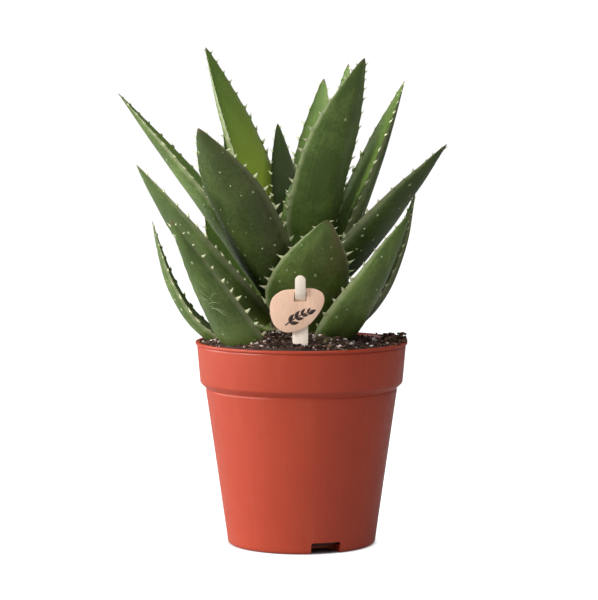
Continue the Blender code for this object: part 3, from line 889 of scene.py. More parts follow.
@dataclass
class LeafForm:
    """The shape that every leaf follows, from its line to its section."""

    size: LeafSize
    stem: "Stem"
    rim: float
    gap: float = 0.3 * MM
    line_steps: int = 240
    fullness: float = 0.8
    neck_widens_over: float = 0.35
    thins_over: float = 0.7
    line: List[LeafPoint] = field(default_factory=list, init=False)

    def __post_init__(self) -> None:
        """Works out the leaf's line."""
        size = self.size
        azimuth = math.radians(size.azimuth)
        height = self.rim + size.base * MM
        start = self.stem.radius_at(height) + self.gap
        place = Vector((self.stem.centre + start * math.cos(azimuth), start * math.sin(azimuth), height))
        for step in range(self.line_steps + 1):
            share = max(step - 0.5, 0.0) / self.line_steps
            bent = min(max(share - size.flat, 0.0) / size.turn, 1.0)
            ease = 1 - (1 - bent) ** 2
            slope = math.radians(size.rise_base + ease * (size.rise_tip - size.rise_base))
            level = math.cos(slope)
            along = Vector((level * math.cos(azimuth), level * math.sin(azimuth), math.sin(slope)))
            if step:
                place = place + along * size.length * MM / self.line_steps
            side = Vector((-math.sin(azimuth), math.cos(azimuth), 0.0))
            side.rotate(Matrix.Rotation(math.radians(size.roll), 3, along))
            self.line.append(LeafPoint(place.copy(), side, along.cross(side), along))

    def at(self, share: float) -> LeafPoint:
        """Gives the line at a share of its length.

        Args:
            share: 0 at the stem and 1 at the tip.

        Returns:
            The point on the line.
        """
        exact = min(max(share, 0.0), 1.0) * self.line_steps
        low = min(int(exact), self.line_steps - 1)
        part = exact - low
        one, two = self.line[low], self.line[low + 1]
        side, face, along = (start.lerp(end, part).normalized() for start, end in
                             ((one.side, two.side), (one.face, two.face), (one.along, two.along)))
        return LeafPoint(one.place.lerp(two.place, part), side, face, along)

    @staticmethod
    def quarter_sine(share: float) -> float:
        """Rises from 0 to 1 like a quarter of a sine wave, then stays."""
        return math.sin(math.pi / 2 * min(max(share, 0.0), 1.0))

    def neck_share(self, share: float) -> float:
        """How far the leaf has widened from its neck, up to 1."""
        return self.size.neck + (1 - self.size.neck) * self.quarter_sine(share / self.neck_widens_over)

    def half_width(self, share: float) -> float:
        """Half the leaf's width.

        Args:
            share: how far along the leaf.

        Returns:
            The half width.
        """
        size = self.size
        narrow = self.quarter_sine((1 - share) / size.taper)
        blunt = 0.055 * math.sqrt(min((1 - share) / 0.03, 1.0)) * (1 - narrow)
        return size.width * MM / 2 * self.neck_share(share) * (narrow + blunt)

    def depth(self, share: float) -> float:
        """How far the underside hangs below the margins.

        Args:
            share: how far along the leaf.

        Returns:
            The depth.
        """
        thinned = self.size.thickness * MM * self.quarter_sine((1 - share) / self.thins_over)
        return thinned * (0.5 + self.neck_share(share) / 2)

    def under(self, share: float, angle: float) -> Vector:
        """A point on the underside.

        Args:
            share: how far along the leaf.
            angle: 0 at one margin and pi at the other.

        Returns:
            The point.
        """
        point = self.at(share)
        across = -self.half_width(share) * math.cos(angle)
        full = max(math.sin(angle), 0.0) ** self.fullness
        ridged = 1 - abs(math.cos(angle)) ** 1.25
        drop = self.depth(share) * (full + self.size.keel * (ridged - full))
        return point.place + point.side * across - point.face * drop

    def above(self, share: float, angle: float) -> Vector:
        """A point on the upper face.

        Args:
            share: how far along the leaf.
            angle: 0 at one margin and pi at the other, the other way round.

        Returns:
            The point.
        """
        point = self.at(share)
        across = self.half_width(share) * math.cos(angle)
        dip = self.size.channel * self.depth(share) * (0.25 + 0.75 * share) * math.sin(angle)
        return point.place + point.side * across - point.face * dip


class Margin(Enum):
    """The two margins of a leaf."""

    FIRST = -1
    SECOND = 1


@dataclass
class LeafBuilder:
    """Builds a leaf's body, teeth and spots as one piece."""

    form: LeafForm
    skin: bpy.types.Material
    horn: bpy.types.Material
    spot: bpy.types.Material
    under_points: int = 16
    upper_points: int = 10
    crowding: float = 1.25
    station_step: float = 1.6 * MM
    tooth_step: float = 5.6 * MM
    tooth_height: float = 3.1 * MM
    tooth_foot: float = 0.95 * MM
    tooth_flatness: float = 0.55
    tooth_sides: int = 6
    tooth_rings: Tuple[Point, ...] = ((0.0, 1.0), (0.3, 0.62), (0.7, 0.25))
    tooth_swell: float = 0.45 * MM
    swell_reach: float = 1.5 * MM
    face_wave: float = 0.35 * MM
    spot_step: float = 6.0 * MM
    spots_under: float = 0.42
    spots_above: float = 0.12
    spot_height: float = 0.16 * MM
    scar_steps: int = 9
    scar_half_width: float = 0.17 * MM
    scar_height: float = 0.09 * MM
    scar_section: Tuple[Point, ...] = ((-1, -0.6), (-0.6, 0.5), (0.6, 0.5), (1, -0.6))
    rng: random.Random = field(init=False)
    tooth_places: Dict[Margin, List[Tuple[float, float]]] = field(init=False)

    def __post_init__(self) -> None:
        """Seeds the leaf's own randomness from its name and places its teeth."""
        self.rng = random.Random(self.form.size.name)
        self.tooth_places = {margin: self._tooth_row() for margin in Margin}

    def build(self) -> bpy.types.Object:
        """Builds the whole leaf.

        Returns:
            The finished piece.
        """
        shape = bmesh.new()
        self.place_layer = shape.verts.layers.float_vector.new("leaf_place")
        self.share_layer = shape.verts.layers.float_vector.new("leaf_share")
        self.tone_layer = shape.verts.layers.float_color.new("leaf_tone")
        self._body(shape)
        bmesh.ops.recalc_face_normals(shape, faces=shape.faces)
        self._teeth(shape)
        self._spots(shape)
        self._scratches(shape)
        size = self.form.size
        return finish_piece(size.name + "_grown", shape, (self.skin, self.horn, self.spot),
                            size.name, Shading.CREASED, 70.0)

    def _tone(self, share: float, across: float, edge: float,
              upper: float) -> Tuple[float, float, float, float]:
        """Colour weights at a point of the skin.

        Args:
            share: how far along the leaf.
            across: -1 to 1 from margin to margin.
            edge: 1 on a margin and 0 away from it.
            upper: 1 on the upper face and 0 on the underside.

        Returns:
            Glow, blush, margin and upper weights; blush is purple-brown, mostly painted shade on the leaf's
            shaded side.
        """
        size = self.form.size
        glow = size.glow * max(0.0, 1 - share * 1.15) ** 1.3 * (0.25 + 0.75 * upper)
        glow += 0.35 * max(0.0, 1 - share * 9.0)
        # Painted shade: the purple-brown grows on each leaf's right-hand side, turned from the key light; the
        # small part left elsewhere is the leaf's own tinge.
        shaded_side = 0.5 - 0.5 * across * math.sin(math.radians(size.azimuth))
        blush_and_shade = size.blush_and_shade * (0.15 + 1.9 * shaded_side ** 2.5)
        return min(glow, 1.0), min(blush_and_shade, 1.0), edge, upper

    def _body(self, shape: bmesh.types.BMesh) -> None:
        """Extrudes the leaf's section along its line.

        Args:
            shape: the mesh to build in.
        """
        form = self.form
        count = self.under_points + self.upper_points
        stations = max(14, int(form.size.length * MM / self.station_step))
        ring = ring_of(shape, count)
        bottom = list(ring)
        for station in range(stations):
            share = 1 - (1 - station / stations) ** self.crowding
            if station:
                ring = extrude_ring(shape, ring)
            self._place_ring(ring, share)
        ring = extrude_ring(shape, ring)
        for vertex in ring:
            self._mark(vertex, 1.0, 0.0, 0.3, 0.0)
        bmesh.ops.pointmerge(shape, verts=ring, merge_co=form.at(1.0).place)
        cap_ring(shape, bottom)

    def _place_ring(self, ring: Sequence[bmesh.types.BMVert], share: float) -> None:
        """Sets one ring of the section.

        Args:
            ring: its vertices in order.
            share: how far along the leaf it is.
        """
        form = self.form
        wave = self.face_wave * form.quarter_sine((1 - share) * 4)
        for index, vertex in enumerate(ring):
            if index <= self.under_points:
                angle = math.pi * index / self.under_points
                place, upper = form.under(share, angle), 0.0
                across = -math.cos(angle)
            else:
                angle = math.pi * (index - self.under_points) / self.upper_points
                place, upper = form.above(share, angle), math.sin(angle) ** 0.3
                across = math.cos(angle)
            ripple = noise.noise(place * 70 + Vector((form.size.azimuth, 0, 0)))
            point = form.at(share)
            margin = Margin.SECOND if across > 0 else Margin.FIRST
            swell = self._swell(share, margin) * max(0.0, abs(across) - 0.6) / 0.4
            vertex.co = place + point.face * ripple * wave + point.side * margin.value * swell
            edge = max(0.0, abs(across) - 0.93) / 0.07
            self._mark(vertex, share, across, edge, upper)

    def _mark(self, vertex: bmesh.types.BMVert, share: float, across: float, edge: float,
              upper: float, up_tooth: float = 0.0) -> None:
        """Stores a point's place on the leaf for the skin's pattern.

        Args:
            vertex: the point.
            share: how far along the leaf it is.
            across: -1 to 1 from margin to margin.
            edge: 1 on a margin.
            upper: 1 on the upper face.
            up_tooth: how far up a tooth it is.
        """
        size = self.form.size
        vertex[self.place_layer] = Vector((share * size.length / 10, across * size.width / 20,
                                           size.azimuth + 3 * upper))
        # Its third number is painted shade: the leaf's deep value, stronger towards the base.
        vertex[self.share_layer] = Vector((share, up_tooth, size.deep * (1.15 - 0.3 * share)))
        vertex[self.tone_layer] = Vector(self._tone(share, across, edge, upper))

    def _tooth_row(self) -> List[Tuple[float, float]]:
        """Chooses the teeth of one margin, smaller near the base and the tip.

        Returns:
            Each tooth's share along the leaf and its size against a full tooth.
        """
        length = self.form.size.length * MM
        scale = min(1.0, self.form.size.width / 18)
        row = []
        travelled = self.rng.uniform(0.25, 0.8) * self.tooth_step
        while travelled < 0.985 * length:
            share = travelled / length
            fullness = 0.55 + 0.45 * math.sin(math.pi * min(share * 1.1, 1))
            size = scale * self.rng.uniform(0.75, 1.2) * fullness
            row.append((share, max(size, 0.4)))
            crowd = 1.0 - 0.45 * max(0.0, share - 0.75) / 0.25
            travelled += self.tooth_step * self.rng.uniform(0.7, 1.3) * crowd * (0.6 + 0.4 * scale)
        return row

    def _swell(self, share: float, margin: Margin) -> float:
        """How far a margin swells out under its teeth.

        Args:
            share: how far along the leaf.
            margin: which margin.

        Returns:
            The swelling.
        """
        length = self.form.size.length * MM
        reach = max((size * math.exp(-(((share - at) * length) / self.swell_reach) ** 2)
                     for at, size in self.tooth_places[margin]), default=0.0)
        return self.tooth_swell * reach

    def _teeth(self, shape: bmesh.types.BMesh) -> None:
        """Sets the teeth along both margins.

        Args:
            shape: the mesh to build in.
        """
        for margin, row in self.tooth_places.items():
            for share, size in row:
                self._tooth(shape, share, margin, size)

    def _tooth(self, shape: bmesh.types.BMesh, share: float, margin: Margin, scale: float) -> None:
        """Adds one tooth that leans towards the tip.

        Args:
            shape: the mesh to build in.
            share: where it is along the leaf.
            margin: which margin it is on.
            scale: its size against a full tooth.
        """
        form = self.form
        point = form.at(share)
        out = point.side * margin.value
        lean = self.rng.uniform(0.25, 0.8)
        direction = (out + point.along * lean + point.face * self.rng.uniform(-0.1, 0.35)).normalized()
        foot = point.place + out * form.half_width(share)
        tall = self.tooth_height * scale
        wide = self.tooth_foot * scale
        flat = direction.cross(point.along).normalized()
        chord = flat.cross(direction).normalized()
        hook = point.along * self.rng.uniform(0.05, 0.3) * tall
        ring = ring_of(shape, self.tooth_sides)
        bottom, verts = list(ring), list(ring)
        for step, (up, width) in enumerate(self.tooth_rings):
            if step:
                ring = extrude_ring(shape, ring)
                verts += ring
            centre = foot + direction * tall * up + hook * up * up
            for corner, vertex in enumerate(ring):
                angle = 2 * math.pi * corner / self.tooth_sides
                around = chord * math.cos(angle) + flat * self.tooth_flatness * math.sin(angle)
                vertex.co = centre + around * wide * width
                self._mark(vertex, share, float(margin.value), 1.0, 0.0, up)
        ring = extrude_ring(shape, ring)
        for vertex in ring:
            self._mark(vertex, share, float(margin.value), 1.0, 0.0, 1.0)
        bmesh.ops.pointmerge(shape, verts=ring, merge_co=foot + direction * tall + hook)
        cap_ring(shape, bottom)
        bmesh.ops.recalc_face_normals(shape, faces=faces_of(verts))
        self._paint(verts, 1)

    def _spots(self, shape: bmesh.types.BMesh) -> None:
        """Scatters raised spots over the underside and a few over the upper face.

        Args:
            shape: the mesh to build in.
        """
        form = self.form
        length = form.size.length * MM
        rows = max(2, int(length / self.spot_step))
        for row in range(1, rows):
            share = (row + self.rng.uniform(-0.4, 0.4)) / rows
            breadth = 2.2 * form.half_width(share)
            columns = max(1, int(breadth / self.spot_step))
            for column in range(columns):
                place = (column + 0.5 + self.rng.uniform(-0.42, 0.42)) / columns
                if self.rng.random() < self.spots_under * form.size.spots:
                    self._spot(shape, share, 0.12 + 0.76 * place, False)
                if self.rng.random() < self.spots_above * form.size.spots:
                    self._spot(shape, share, 0.15 + 0.7 * place, True)

    def _spot(self, shape: bmesh.types.BMesh, share: float, place: float, upper: bool) -> None:
        """Adds one spot.

        Args:
            shape: the mesh to build in.
            share: where it is along the leaf.
            place: 0 to 1 across the face.
            upper: whether it is on the upper face.
        """
        form = self.form
        face = form.above if upper else form.under
        angle = math.pi * place
        here = face(share, angle)
        along = (face(min(share + 0.01, 1.0), angle) - here).normalized()
        across = (face(share, angle + 0.05) - here).normalized()
        normal = along.cross(across).normalized()
        if normal.dot(form.at(share).face) * (1 if upper else -1) < 0:
            normal.negate()
        across = normal.cross(along)
        radius = self.rng.uniform(0.32, 0.62) * MM
        basis = Matrix((along * radius * self.rng.uniform(1.0, 1.5), across * radius,
                        normal * self.spot_height)).transposed().to_4x4()
        basis.translation = here
        made = bmesh.ops.create_icosphere(shape, subdivisions=1, radius=1.0, matrix=basis)
        for vertex in made["verts"]:
            self._mark(vertex, share, 0.0, 0.0, float(upper))
        self._paint(made["verts"], 2)

    def _scratches(self, shape: bmesh.types.BMesh) -> None:
        """Draws thin healed scars over the underside.

        Args:
            shape: the mesh to build in.
        """
        form = self.form
        for _ in range(form.size.scratches):
            share = self.rng.uniform(0.50, 0.70)
            place = self.rng.uniform(0.40, 0.62)
            drift = self.rng.uniform(0.10, 0.22)
            slope = self.rng.uniform(-0.09, 0.05)
            ring = ring_of(shape, len(self.scar_section))
            first, verts = list(ring), list(ring)
            for step in range(self.scar_steps):
                if step:
                    ring = extrude_ring(shape, ring)
                    verts += ring
                part = step / (self.scar_steps - 1)
                at = share + slope * part + 0.012 * math.sin(3 * part)
                angle = math.pi * (place + drift * part)
                here = form.under(at, angle)
                across = (form.under(at, angle + 0.05) - here).normalized()
                along = (form.under(at + 0.01, angle) - here).normalized()
                normal = along.cross(across).normalized()
                if normal.dot(form.at(at).face) > 0:
                    normal.negate()
                half = self.scar_half_width * math.sin(math.pi * (0.06 + 0.88 * part))
                for vertex, (wide, high) in zip(ring, self.scar_section):
                    vertex.co = here + along * half * wide + normal * self.scar_height * high
                    self._mark(vertex, at, 0.0, 0.0, 0.0)
            for end in (first, ring):
                cap_ring(shape, end)
            bmesh.ops.recalc_face_normals(shape, faces=faces_of(verts))
            self._paint(verts, 2)

    @staticmethod
    def _paint(verts: Sequence[bmesh.types.BMVert], slot: int) -> None:
        """Gives the faces of some vertices a material.

        Args:
            verts: the vertices.
            slot: the material's slot.
        """
        for face in faces_of(verts):
            face.material_index = slot
            face.smooth = True


# ----------------------------------------------------------------------------------------------
# Stem
# ----------------------------------------------------------------------------------------------


@dataclass
class Stem:
    """Short stem that carries the leaves."""

    rim: float
    heap: float = 2.5 * MM
    centre: float = -3.0 * MM
    radius: float = 9.5 * MM
    shoulder_radius: float = 7.5 * MM
    top_radius: float = 3.5 * MM
    root_depth: float = 27.0 * MM
    shoulder_height: float = 34.0 * MM
    height: float = 42.0 * MM
    scar_depth: float = 0.16 * MM
    skin_gap: float = 0.2 * MM
    rings: int = 44
    turns: int = 48

    def points(self) -> List[Point]:
        """Gives the outline from the soil to the rounded top.

        Returns:
            (radius, height) points, upwards.
        """
        return [
            (self.radius, self.rim + self.heap),
            (self.shoulder_radius, self.rim + self.shoulder_height),
            (self.top_radius, self.rim + self.height - self.top_radius / 2),
            (self.top_radius / 2, self.rim + self.height),
        ]

    def radius_at(self, height: float) -> float:
        """Gives the stem's radius at a height.

        Args:
            height: the height over the ground.

        Returns:
            The radius.
        """
        points = self.points()
        for (low_radius, low), (high_radius, high) in zip(points, points[1:]):
            if height < high:
                share = max(height - low, 0.0) / (high - low)
                return low_radius + share * (high_radius - low_radius)
        return points[-1][0]

    def build(self, bark: bpy.types.Material) -> bpy.types.Object:
        """Builds the stem, ringed with leaf scars.

        Args:
            bark: its material.

        Returns:
            The finished piece.
        """
        foot = self.rim - self.root_depth
        top = self.rim + self.height
        profile = [(0.0, foot)]
        for step in range(self.rings + 1):
            height = foot + (top - foot) * step / self.rings
            scar = self.scar_depth * math.sin(step * 2.4)
            profile.append((self.radius_at(height) - self.skin_gap + scar, height))
        profile.append((0.0, top))
        shape = spun(profile, self.turns, self.centre)
        for vertex in shape.verts:
            away = vertex.co - Vector((self.centre, 0, vertex.co.z))
            vertex.co += away * 0.05 * noise.noise(vertex.co * 260)
        return finish_piece("stem_grown", shape, (bark,), "stem")


# ----------------------------------------------------------------------------------------------
# Pot
# ----------------------------------------------------------------------------------------------


@dataclass
class Pot:
    """Moulded nursery pot with a stepped band, a lip and drain notches."""

    height: float
    lip_radius: float
    wall: float = 1.2 * MM
    foot_radius: float = 29.25 * MM
    foot_round: float = 3.0 * MM
    foot_ring: float = 4.0 * MM
    foot_recess: float = 1.5 * MM
    foot_pad: float = 8.0 * MM
    shoulder_height: float = 61.8 * MM
    shoulder_radius: float = 37.7 * MM
    shoulder_rise: float = 2.0 * MM
    band_foot_radius: float = 39.8 * MM
    band_top_radius: float = 41.1 * MM
    lip_height: float = 1.2 * MM
    groove: float = 0.22 * MM
    unevenness: float = 0.0016
    notches: int = 3
    notch_width: float = 12.0 * MM
    notch_height: float = 4.5 * MM
    notch_depth: float = 8.0 * MM
    notch_corner: float = 0.8 * MM
    notch_azimuth: float = -71.0
    turns: int = 144

    @property
    def band_foot(self) -> float:
        """Where the band starts, above its shoulder."""
        return self.shoulder_height + self.shoulder_rise

    def inner_radius(self, height: float) -> float:
        """Gives the inner wall's radius in the band.

        Args:
            height: the height over the ground.

        Returns:
            The radius.
        """
        share = (height - self.band_foot) / (self.height - self.band_foot)
        return self.band_foot_radius + share * (self.band_top_radius - self.band_foot_radius) - self.wall

    def profile(self) -> List[Point]:
        """Gives the wall's outline, up the outside and down the inside.

        Returns:
            (radius, height) points.
        """
        ring = self.foot_radius - self.foot_round - self.foot_ring
        floor = self.foot_recess + self.wall
        lip_foot = self.height - self.lip_height
        corners = [
            ((0.0, 0.0), 0.0),
            ((self.foot_pad, 0.0), 0.3),
            ((self.foot_pad + self.foot_recess, self.foot_recess), 0.3),
            ((ring - self.foot_recess, self.foot_recess), 0.3),
            ((ring, 0.0), 0.3),
            ((self.foot_radius - 0.2 * MM, 0.0), 3.0),
            ((self.foot_radius + 0.2 * MM, self.foot_round + 0.5 * MM), 0.6),
            ((self.shoulder_radius - 0.06 * MM, self.shoulder_height - 0.9 * MM), 0.3),
            ((self.shoulder_radius - self.groove, self.shoulder_height - 0.2 * MM), 0.25),
            ((self.shoulder_radius + 0.5 * MM, self.shoulder_height + 0.5 * MM), 0.3),
            ((self.band_foot_radius, self.band_foot), 0.7),
            ((self.band_top_radius - 0.05 * MM, lip_foot - 0.7 * MM), 0.2),
            ((self.band_top_radius - self.groove, lip_foot - 0.15 * MM), 0.2),
            ((self.lip_radius, lip_foot + 0.15 * MM), 0.35),
            ((self.lip_radius, self.height), 0.6),
            ((self.band_top_radius - self.wall, self.height), 0.4),
            ((self.band_foot_radius - self.wall, self.band_foot + self.wall / 2), 0.5),
            ((self.shoulder_radius - self.wall, self.shoulder_height + self.wall / 2), 0.5),
            ((self.foot_radius - self.wall, floor), 1.8),
            ((0.0, floor), 0.0),
        ]
        return rounded([point for point, _ in corners], [radius * MM for _, radius in corners])

    def build(self, plastic: bpy.types.Material) -> bpy.types.Object:
        """Builds the pot and cuts its notches.

        Args:
            plastic: its material.

        Returns:
            The finished piece.
        """
        shape = spun(self.profile(), self.turns)
        for vertex in shape.verts:
            wobble = noise.noise(Vector((vertex.co.x, vertex.co.y, vertex.co.z * 0.4)) * 26)
            away = Vector((vertex.co.x, vertex.co.y, 0.0))
            vertex.co += away * self.unevenness * wobble * min(vertex.co.z / (20 * MM), 1.0)
        self._cut_notches(shape)
        return finish_piece("pot_moulded", shape, (plastic,), "pot", Shading.CREASED, 38.0)

    def _notch_tool(self, index: int) -> bpy.types.Object:
        """Makes the block that cuts one notch.

        Args:
            index: which notch.

        Returns:
            The block, which the caller removes.
        """
        cutter = bmesh.new()
        bmesh.ops.create_cube(cutter, size=1.0)
        length = self.notch_depth + 3 * MM
        bmesh.ops.scale(cutter, verts=cutter.verts, vec=(length, self.notch_width, 2 * self.notch_height))
        radial = [edge for edge in cutter.edges
                  if abs(edge.verts[0].co.y - edge.verts[1].co.y) < MM
                  and abs(edge.verts[0].co.z - edge.verts[1].co.z) < MM]
        bmesh.ops.bevel(cutter, geom=radial, offset=self.notch_corner, affect="EDGES", segments=3,
                        profile=0.5, material=-1)
        middle = self.foot_radius - self.notch_depth + length / 2
        bmesh.ops.translate(cutter, verts=cutter.verts, vec=(middle, 0, 0))
        azimuth = math.radians(self.notch_azimuth + 360 * index / self.notches)
        bmesh.ops.rotate(cutter, verts=cutter.verts, matrix=Matrix.Rotation(azimuth, 3, "Z"))
        return loose_object(f"notch_{index}", cutter)

    def _cut_notches(self, shape: bmesh.types.BMesh) -> None:
        """Cuts the drain notches through the foot.

        Args:
            shape: the pot's mesh.
        """
        whole = bpy.data.meshes.new("pot_whole")
        shape.to_mesh(whole)
        body = bpy.data.objects.new("pot_whole", whole)
        bpy.context.scene.collection.objects.link(body)
        cutters = []
        for index in range(self.notches):
            tool = self._notch_tool(index)
            cut = body.modifiers.new(tool.name, "BOOLEAN")
            cut.operation = "DIFFERENCE"
            cut.solver = "EXACT"
            cut.object = tool
            cutters.append(tool)
        graph = bpy.context.evaluated_depsgraph_get()
        done = bpy.data.meshes.new_from_object(body.evaluated_get(graph))
        shape.clear()
        shape.from_mesh(done)
        for helper in [body] + cutters:
            bpy.data.objects.remove(helper, do_unlink=True)
        bmesh.ops.remove_doubles(shape, verts=shape.verts, dist=WELD)


# ----------------------------------------------------------------------------------------------
# Soil
# ----------------------------------------------------------------------------------------------


class Grain(Enum):
    """Sorts of loose grain on the soil: name, share, smallest and largest size in millimetres."""

    PEAT = ("peat_crumbs", 0.50, 0.5, 1.5)
    BARK = ("bark_bits", 0.24, 0.8, 2.4)
    RUSTY = ("rusty_crumbs", 0.12, 0.5, 1.4)
    PERLITE = ("perlite_grains", 0.10, 0.7, 1.9)


GRAIN_FINISHES = {
    Grain.PEAT: SoilGrit("peat", (0.050, 0.026, 0.017), (0.090, 0.047, 0.030)),
    Grain.BARK: SoilGrit("bark", (0.036, 0.017, 0.011), (0.110, 0.052, 0.032), 500.0),
    Grain.RUSTY: SoilGrit("rusty", (0.200, 0.095, 0.060), (0.290, 0.150, 0.100)),
    Grain.PERLITE: SoilGrit("perlite", (0.700, 0.560, 0.520), (0.860, 0.760, 0.720), 1200.0, (0.7, 0.9),
                            0.0002),
}


@dataclass
class Soil:
    """Potting mix: a rough bed, loose grains, clods piled on the right rim, fibres and moss."""

    pot: Pot
    stem: Stem
    below_rim: float = 3.0 * MM
    gap: float = 0.3 * MM
    heap: float = 2.5 * MM
    floor_corner: float = 2.0 * MM
    grain_count: int = 2600
    clod_count: int = 150
    clod_azimuth: float = 4.0
    clod_rise: float = 4.6 * MM
    fibre_count: int = 110
    fibre_steps: int = 6
    fibre_sides: int = 4
    moss_count: int = 90
    turns: int = 120
    rings: int = 56
    rng: random.Random = field(default_factory=lambda: random.Random(41))

    def edge_radius(self) -> float:
        """Radius of the bed where it meets the wall."""
        return self.pot.inner_radius(self.pot.height - self.below_rim) - self.gap

    def height_at(self, x: float, y: float) -> float:
        """Gives the height of the uneven bed.

        Args:
            x: place along X.
            y: place along Y.

        Returns:
            The height.
        """
        away = min(math.hypot(x, y) / self.edge_radius(), 1.0)
        level = self.pot.height - self.below_rim + self.heap * math.cos(away * math.pi / 2)
        azimuth = math.degrees(math.atan2(y, x)) % 360
        facing = math.exp(-((azimuth - 255) / 62) ** 2)
        mound = facing * (2.0 + 3.4 * min(max((1 - away) / 0.14, 0.0), 1.0) * min(1.0, 0.4 + away))
        hollow = max(0.0, math.cos(math.radians(azimuth - 350))) ** 2 * away ** 2
        lumps = 0.9 * noise.noise(Vector((x, y, 0)) * 170) + 0.45 * noise.noise(Vector((x, y, 3)) * 520)
        return level + (1.5 + mound - 0.8 * hollow + lumps) * MM

    def build(self) -> List[bpy.types.Object]:
        """Builds the bed and everything loose on it.

        Returns:
            The pieces.
        """
        pieces = [self._bed()]
        for grain in Grain:
            pieces.append(self._grains(grain))
        pieces.append(self._fibres())
        pieces.append(self._moss())
        return pieces

    def _bed(self) -> bpy.types.Object:
        """Builds the bed as one closed solid inside the pot.

        Returns:
            The finished piece.
        """
        edge = self.edge_radius()
        floor = self.pot.foot_recess + self.pot.wall + self.gap
        foot = self.pot.foot_radius - self.pot.wall - self.gap
        level = self.pot.height - self.below_rim
        shoulder = self.pot.shoulder_radius - self.pot.wall - self.gap
        wall_foot = floor + self.floor_corner
        profile = [(0.0, floor), (foot - self.floor_corner, floor), (foot, wall_foot)]
        wall_rows = 8
        for step in range(1, wall_rows + 1):
            share = step / wall_rows
            height = wall_foot + share * (self.pot.shoulder_height - wall_foot)
            profile.append((foot + share * (shoulder - foot), height))
        profile.append((edge - 0.6 * MM, self.pot.shoulder_height + 3.5 * MM))
        for step in range(self.rings):
            profile.append((edge * (1 - step / self.rings), level))
        profile.append((0.0, level))
        shape = spun(profile, self.turns)
        for vertex in shape.verts:
            if vertex.co.z > level - 0.1 * MM:
                vertex.co.z = self.height_at(vertex.co.x, vertex.co.y)
            else:
                away = Vector((vertex.co.x, vertex.co.y, 0))
                vertex.co -= away * 0.012 * abs(noise.noise(vertex.co * 300))
        finish = SoilGrit("soil_bed", (0.028, 0.015, 0.010), (0.070, 0.037, 0.025), 700.0)
        return finish_piece("soil_bed", shape, (finish.build(),), "soil")

    def _spot_on_soil(self) -> Tuple[float, float]:
        """Picks a place on the soil, more often near the front rim.

        Returns:
            x and y.
        """
        while True:
            radius = self.edge_radius() * math.sqrt(self.rng.random()) * 0.995
            azimuth = self.rng.uniform(0, 2 * math.pi)
            if self.rng.random() < 0.35:
                azimuth = math.radians(self.rng.gauss(245, 35))
                radius = self.edge_radius() * (1 - abs(self.rng.gauss(0, 0.12)))
            x, y = radius * math.cos(azimuth), radius * math.sin(azimuth)
            if math.hypot(x - self.stem.centre, y) > self.stem.radius and radius > 0:
                return x, y

    def _grains(self, grain: Grain) -> bpy.types.Object:
        """Scatters one sort of grain.

        Args:
            grain: the sort.

        Returns:
            The piece.
        """
        name, share, small, large = grain.value
        shape = bmesh.new()
        for _ in range(int(self.grain_count * share)):
            x, y = self._spot_on_soil()
            radius = self.rng.uniform(small, large) * MM / 2
            limit = self.edge_radius() - radius
            away = math.hypot(x, y)
            if away > limit:
                x, y = x * limit / away, y * limit / away
            self._chunk(shape, Vector((x, y, self.height_at(x, y) + 0.25 * radius)), radius, grain)
        if grain in (Grain.PEAT, Grain.BARK, Grain.RUSTY):
            self._clods(shape, grain)
        finish = GRAIN_FINISHES[grain].build()
        return finish_piece(name, shape, (finish,), None, Shading.CREASED, 45.0)

    def _clods(self, shape: bmesh.types.BMesh, grain: Grain) -> None:
        """Piles clods on the right-hand rim.

        Args:
            shape: the mesh to build in.
            grain: the sort of grain.
        """
        for _ in range(self.clod_count):
            azimuth = math.radians(self.rng.gauss(self.clod_azimuth, 13))
            radius = self.rng.uniform(33.0, 41.3) * MM
            x, y = radius * math.cos(azimuth), radius * math.sin(azimuth)
            rise = self.clod_rise * math.exp(-((math.degrees(azimuth) - self.clod_azimuth) / 15) ** 2)
            z = self.pot.height - 2.0 * MM + self.rng.random() * rise
            if radius > self.pot.inner_radius(self.pot.height) - MM:
                z = max(z, self.pot.height + 0.3 * MM)
            self._chunk(shape, Vector((x, y, z)), self.rng.uniform(0.35, 0.85) * MM, grain)

    def _chunk(self, shape: bmesh.types.BMesh, centre: Vector, radius: float, grain: Grain) -> None:
        """Adds one rough grain.

        Args:
            shape: the mesh to build in.
            centre: where it lies.
            radius: how big it is.
            grain: the sort, which sets how flat it is.
        """
        is_bark = grain is Grain.BARK
        long = self.rng.uniform(1.2, 2.2) if is_bark else self.rng.uniform(0.9, 1.3)
        flat = self.rng.uniform(0.35, 0.6) if is_bark else self.rng.uniform(0.65, 1.0)
        heading = Matrix.Rotation(self.rng.uniform(0, 6.3), 4, "Z")
        tilt = Matrix.Rotation(self.rng.gauss(0, 0.5), 4, "X")
        size = Matrix.Diagonal((radius * long, radius, radius * flat, 1.0))
        matrix = Matrix.Translation(centre) @ (heading @ tilt) @ size
        made = bmesh.ops.create_icosphere(shape, subdivisions=1, radius=1.0, matrix=matrix)
        for vertex in made["verts"]:
            vertex.co += (vertex.co - centre) * self.rng.uniform(-0.28, 0.28)

